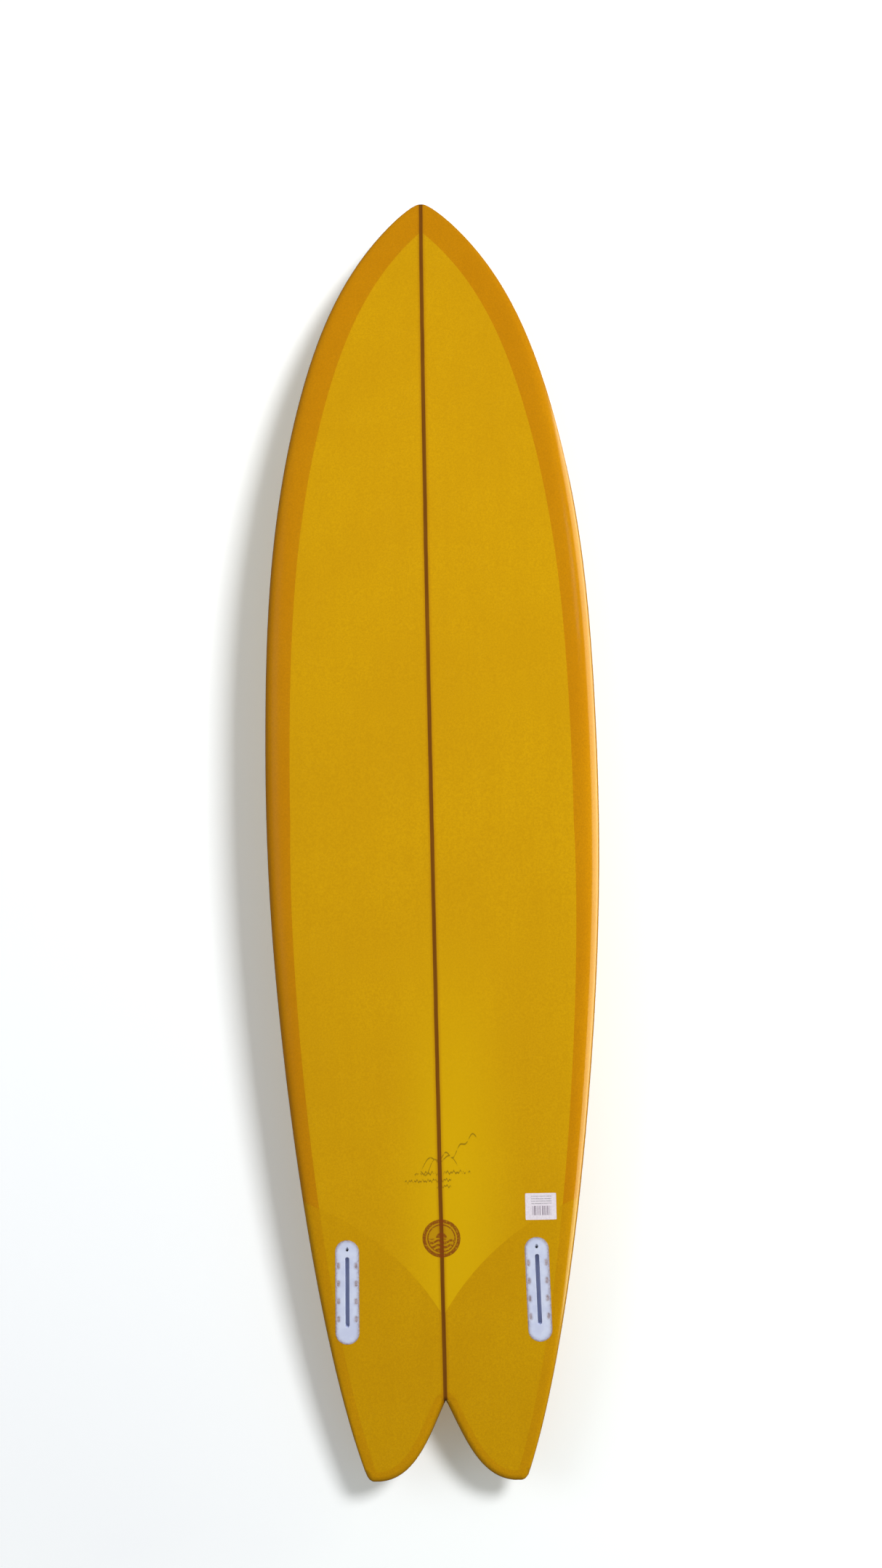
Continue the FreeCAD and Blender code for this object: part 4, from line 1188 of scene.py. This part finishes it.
def fin_box():
    """Flange, slot and body of a fin box, and the resin that fills its key holes."""
    face = fin_face()
    in_key = keys(face.middles()) < 0
    plugs, box = face.keep(in_key), face.keep(~in_key)
    rim = rim_near(box, stadium(box.verts, FLANGE_RUN, FLANGE_RADIUS))
    slot_rim = rim_near(box, stadium(box.verts, SLOT_RUN, SLOT_RADIUS))
    box.add_rings(
        rim,
        [
            ring_to(FLANGE_RUN, FLANGE_RUN, FLANGE_RADIUS, -FLANGE_THICKNESS),
            ring_to(FLANGE_RUN, BOX_RUN, BOX_RADIUS, -FLANGE_THICKNESS),
            ring_to(FLANGE_RUN, BOX_RUN, BOX_RADIUS, -BOX_DEPTH),
            ring_to(FLANGE_RUN, BOX_RUN, 0.1 * MM, -BOX_DEPTH),
        ],
    )
    depths = np.concatenate([[1.5, 4, 6.5], np.arange(8.5, 18, 0.7), [SLOT_DEPTH / MM]]) * MM
    rings = [ring_to(SLOT_RUN, SLOT_RUN, SLOT_RADIUS, -depth) for depth in depths]
    rings.append(ring_to(SLOT_RUN, SLOT_RUN, 0.1 * MM, -SLOT_DEPTH))
    box.add_rings(slot_rim, rings)
    box.split(screw_hole_distance(box.verts))
    box = box.keep(screw_hole_distance(box.middles()) > 0)
    return box.add(screw_tube()), plugs


def screw():
    """A headless screw with a rolled thread and a hexagon socket, its outer end at nought."""
    turns = 72
    angle = np.linspace(0, 2 * math.pi, turns, endpoint=False)
    sector = (angle + math.pi / 6) % (math.pi / 3) - math.pi / 6
    hexagon = 1.25 * MM / np.cos(sector)
    pitch, thread = 0.8 * MM, 0.28 * MM
    rows = [(0.02 * MM + 0 * angle, -3.2 * MM), (hexagon, -2.9 * MM), (hexagon, -0.1 * MM)]
    rows += [(hexagon * 1.06, 0.0), (2.0 * MM + 0 * angle, 0.0)]
    for depth in np.arange(0.3 * MM, SCREW_LENGTH - 0.2 * MM, 0.1 * MM):
        phase = (depth / pitch - angle / (2 * math.pi)) % 1.0
        taper = np.clip(min(depth, SCREW_LENGTH - depth) / (0.7 * MM), 0.25, 1)
        rows.append((SCREW_RADIUS - thread + taper * thread * (1 - np.abs(2 * phase - 1)), -depth))
    rows += [(1.9 * MM + 0 * angle, -SCREW_LENGTH), (0.02 * MM + 0 * angle, -SCREW_LENGTH)]
    points = [np.stack([r * np.cos(angle), r * np.sin(angle), 0 * angle + z], 1) for r, z in rows]
    return Skin(np.concatenate(points), grid(len(rows), turns, closed=True)[:, ::-1])


def resin_bed(place, run, radius, this_side, rings):
    """The resin from the edge of an opening in the glass to the fitting that is bedded in it."""
    edge = Skin(outer.verts, outer.tris).moved(place.inverted())
    hole = rim_near(edge, np.where(this_side, stadium(edge.verts, run, radius), 1.0))
    ids, spot = np.unique(hole.ravel(), return_inverse=True)
    bed = Skin(edge.verts[ids], np.zeros((0, 3), int))
    return bed.add_rings(spot.reshape(-1, 2), rings)


for side_name, side in SIDES.items():
    place = fin_place(side)
    box, plugs = fin_box()
    rim = -stadium(box.verts, FLANGE_RUN, FLANGE_RADIUS)
    rim_fade = np.clip(1 - rim / RIM_CLOUD, 0, 1) ** 1.5
    key_fade = 0.8 * np.clip(1 - keys(box.verts) / KEY_CLOUD, 0, 1)
    middles = box.middles()
    # faces in the slot take the plastic painted lighter against the slot's shade
    slot_faces_painted_light = (stadium(middles, SLOT_RUN, SLOT_RADIUS) < 0.02 * MM) & (middles[:, 2] < -0.5 * MM)
    piece(
        f"finbox_{side_name}",
        box.moved(place),
        "board",
        [f"fin_box_{side_name}"],
        [BOX_PLASTIC, SLOT_PLASTIC_PAINTED_LIGHT],
        faces=slot_faces_painted_light.astype(int),
        sharp=35,
        fade=np.maximum(rim_fade, key_fade),
    )

    flange = [
        ring_to(FLANGE_RUN, FLANGE_RUN, FLANGE_RADIUS + radius * MM, height * MM)
        for radius, height in ((0.7, -0.12), (0.35, -0.2), (0.05, -0.3), (0.0, -FLANGE_THICKNESS / MM))
    ]
    bed = resin_bed(place, FLANGE_RUN, FLANGE_RADIUS + BED, outer.around < 0.5, flange)
    bed.add(plugs).moved(place)
    piece(
        f"fin_bed_{side_name}",
        bed,
        "board",
        [f"fin_box_resin_{side_name}"],
        [BED_RESIN],
        sharp=50,
    )

    rod = screw().moved(screw_place(side, SCREW_SINK))
    piece(
        f"grub_screw_{side_name}",
        rod,
        f"screw_{side_name}",
        [f"fin_screw_{side_name}"],
        [SCREW_STEEL],
        sharp=30,
    )


# ------------------------------------------------------------------ leash plug
def lathe(profile, turns=96):
    """A turned skin about Z from (radius, height) pairs in millimetres."""
    angle = np.linspace(0, 2 * math.pi, turns, endpoint=False)
    points = [np.stack([r * np.cos(angle), r * np.sin(angle), 0 * angle + z], 1) * MM for r, z in profile]
    return Skin(np.concatenate(points), grid(len(profile), turns, closed=True))


CUP = [
    (0.02, -20),
    (13.4, -20),
    (14.25, -19.2),
    (14.25, -2.5),
    (17.0, -2.5),
    (17.0, -0.5),
    (16.85, -0.15),
    (16.4, 0.0),
    (13.4, 0.0),
    (13.2, -0.25),
    (12.7, -0.25),
    (12.5, 0.0),
    (12.1, -0.05),
    (11.7, -0.3),
    (11.5, -0.8),
    (11.5, -15.4),
    (11.2, -16.2),
    (10.4, -16.5),
    (0.02, -16.5),
]
piece(
    "plug_cup",
    lathe(CUP).moved(PLUG_PLACE),
    "board",
    ["leash_plug_cup"],
    [PLUG_PLASTIC],
    sharp=35,
)
BAR = [(0.02, -13), (2.1, -13), (2.4, -12.7), (2.4, 12.7), (2.1, 13), (0.02, 13)]
bar_place = PLUG_PLACE @ Matrix.Translation((0, 0, -5 * MM)) @ Matrix.Rotation(math.pi / 2, 4, "Y")
piece("plug_bar", lathe(BAR, 48).moved(bar_place), "board", ["leash_plug_bar"], [BAR_STEEL], sharp=35)


def round_ring(radius, height):
    """A ring function: points round the leash plug go to one radius and height."""

    def move(points):
        away = points[:, :2] / np.maximum(np.linalg.norm(points[:, :2], axis=1), 1e-9)[:, None]
        return np.stack([away[:, 0] * radius, away[:, 1] * radius, 0 * points[:, 0] + height], 1)

    return move


rings = [round_ring(r * MM, z * MM) for r, z in ((17.7, -0.1), (17.3, -0.2), (17.05, -0.3), (17, -2.5))]
bed = resin_bed(PLUG_PLACE, 0.0, PLUG_FLANGE + BED, outer.around >= 0.5, rings)
piece("plug_bed", bed.moved(PLUG_PLACE), "board", ["leash_plug_resin"], [BED_RESIN], sharp=50)

# ------------------------------------------------------------------ price label
surface = BVHTree.FromPolygons(outer.verts.tolist(), outer.tris.tolist())


def label_skin():
    """A thin paper rectangle with eased corners, lying on the bottom."""
    u, v = np.meshgrid(np.linspace(-1, 1, 41), np.linspace(-1, 1, 37))
    lift = LABEL_THICKNESS + 0.25 * MM * (np.abs(u) * np.abs(v)) ** 8
    ease = 1 - 0.012 * (np.abs(u) * np.abs(v)) ** 12
    x = LABEL_X + u * ease * LABEL_WIDE / 2
    z = LABEL_Z + v * ease * LABEL_HIGH / 2
    verts = []
    for px, pz, rise in zip(x.ravel(), z.ravel(), lift.ravel()):
        spot, normal, _, _ = surface.ray_cast(Vector((px, -1.0, pz)), Vector((0, 1, 0)))
        verts.append(spot - Vector((0, 1, 0)) * rise)
    skin = Skin(np.array(verts), grid(*u.shape))
    return shelled(skin.work_out_normals(), 0.15 * MM)


piece("label", label_skin(), "board", ["price_label"], [LABEL_PAPER])

# ------------------------------------------------------------------ room, light, camera
WALL_Y, WALL_LEAN, FLOOR_Z = 0.105, 0.035, -HALF - 0.42


def flat_sheet(name, centre, wide, high, axis, look):
    """A stage sheet across X and either Y or Z."""
    across = Vector((wide / 2, 0, 0))
    up = Vector((0, high / 2, 0)) if axis == "Y" else Vector((0, 0, high / 2))
    corners = [centre - across - up, centre + across - up, centre + across + up, centre - across + up]
    mesh = bpy.data.meshes.new(name)
    mesh.from_pydata([tuple(c) for c in corners], [], [(0, 1, 2, 3)])
    mesh.materials.append(look)
    sheet = bpy.data.objects.new(name, mesh)
    bpy.context.scene.collection.objects.link(sheet)
    return sheet


def plain_stage(name, colour, one_sided):
    """Matt paint; the one-sided kind is there only for the camera in front of it."""
    made = bpy.data.materials.new(name)
    made.use_nodes = True
    graph = Graph(made.node_tree)
    made.node_tree.nodes.clear()
    speck = graph.noise(3.0, 3.0)
    paint = graph.node(
        "BsdfDiffuse",
        {"Color": graph.mix(speck, colour, tuple(c * 0.99 for c in colour[:3]) + (1.0,))},
    )
    result = paint.outputs[0]
    if one_sided:
        seen = graph.node("LightPath").outputs["Is Camera Ray"]
        back = graph.node("NewGeometry").outputs["Backfacing"]
        share = graph.times(seen, graph.minus(1.0, back))
        clear = graph.node("BsdfTransparent")
        result = graph.node("MixShader", {0: share, 1: clear.outputs[0], 2: result}).outputs[0]
    graph.node("OutputMaterial", {"Surface": result})
    return made


wall_paint = plain_stage("Wall paint", (0.965, 0.985, 1.0, 1.0), True)
floor_paint = plain_stage("Floor paint", (0.86, 0.86, 0.86, 1.0), False)
wall = flat_sheet("wall", Vector((0, 0, 1.5)), 14.0, 9.0, "Z", wall_paint)
wall.rotation_euler = (-WALL_LEAN, 0, 0)
wall.location = (0, WALL_Y, 0)
floor = flat_sheet("floor", Vector((0, 0, FLOOR_Z)), 16.0, 16.0, "Y", floor_paint)
floor.visible_glossy = False
floor.visible_diffuse = False


def soft_light(name, place, aim, size, power, colour=(1.0, 1.0, 1.0), glossy=True):
    data = bpy.data.lights.new(name, "AREA")
    data.shape = "SQUARE"
    data.size = size
    data.energy = power
    data.color = colour
    lamp = bpy.data.objects.new(name, data)
    lamp.location = place
    lamp.rotation_euler = (Vector(aim) - Vector(place)).to_track_quat("-Z", "Y").to_euler()
    lamp.visible_glossy = glossy
    bpy.context.scene.collection.objects.link(lamp)
    return lamp


soft_light("key", (3.2, -5.8, 2.5), (0, 0, 0), 1.7, 384.0, glossy=False)
soft_light("fill_left", (-3.2, -3.0, 0.6), (0, 0, 0), 2.6, 39.0, (0.9, 0.95, 1.0), glossy=False)
soft_light("back_top", (0.8, 3.2, 2.6), (0, 0, 0.1), 2.4, 60.0)
rail_glow = soft_light("rail_glow", (2.7, 0.2, 0.1), (0, 0, 0), 3.4, 190.0, (1.0, 0.97, 0.6))
soft_light("rail_fill", (2.5, -0.3, -0.05), (0, 0, 0), 0.5, 38.0, (0.9, 1.0, 0.62), glossy=False)
rail_glow.data.shape = "RECTANGLE"
rail_glow.data.size_y = 4.0
rail_glow.visible_diffuse = False

world = bpy.data.worlds.new("Room")
world.use_nodes = True
graph = Graph(world.node_tree)
world.node_tree.nodes.clear()
camera_ray = graph.node("LightPath").outputs["Is Camera Ray"]
glossy_ray = graph.node("LightPath").outputs["Is Glossy Ray"]
level = graph.plus(graph.times(camera_ray, 0.6), 0.4)
level = graph.minus(level, graph.times(glossy_ray, 0.35))
above = graph.node("SeparateXYZ", {0: graph.node("TexCoord").outputs["Generated"]}).outputs[2]
level = graph.times(level, graph.most(camera_ray, graph.between(above, -0.7, 0.5, 0.75, 1.0)))
sky = graph.node("Background", {"Color": (1.0, 1.0, 1.0, 1.0), "Strength": level})
graph.node("OutputWorld", {"Surface": sky.outputs[0]})
bpy.context.scene.world = world

bpy.context.scene.view_settings.view_transform = "Standard"

CAMERA_TURN, CAMERA_RISE, CAMERA_ROLL = (math.radians(a) for a in (1.941, -3.187, 1.30))
CAMERA_AWAY, CAMERA_VIEW = 3.544, math.radians(40)
aim = Vector((0.0154, -THICKNESS / 2, 0.0675))
back = Vector(
    (
        math.sin(CAMERA_TURN) * math.cos(CAMERA_RISE),
        -math.cos(CAMERA_TURN) * math.cos(CAMERA_RISE),
        math.sin(CAMERA_RISE),
    )
)
right = Vector((math.cos(CAMERA_TURN), math.sin(CAMERA_TURN), 0))
up = back.cross(right)
rolled_right = math.cos(CAMERA_ROLL) * right - math.sin(CAMERA_ROLL) * up
rolled_up = math.cos(CAMERA_ROLL) * up + math.sin(CAMERA_ROLL) * right
turn = Matrix((rolled_right, rolled_up, back)).transposed()
lens = bpy.data.cameras.new("camera")
lens.sensor_width = 36.0
lens.lens = lens.sensor_width / 2 / math.tan(CAMERA_VIEW / 2)
camera = bpy.data.objects.new("camera", lens)
camera.matrix_world = Matrix.Translation(aim + back * CAMERA_AWAY) @ turn.to_4x4()
bpy.context.scene.collection.objects.link(camera)
bpy.context.scene.camera = camera
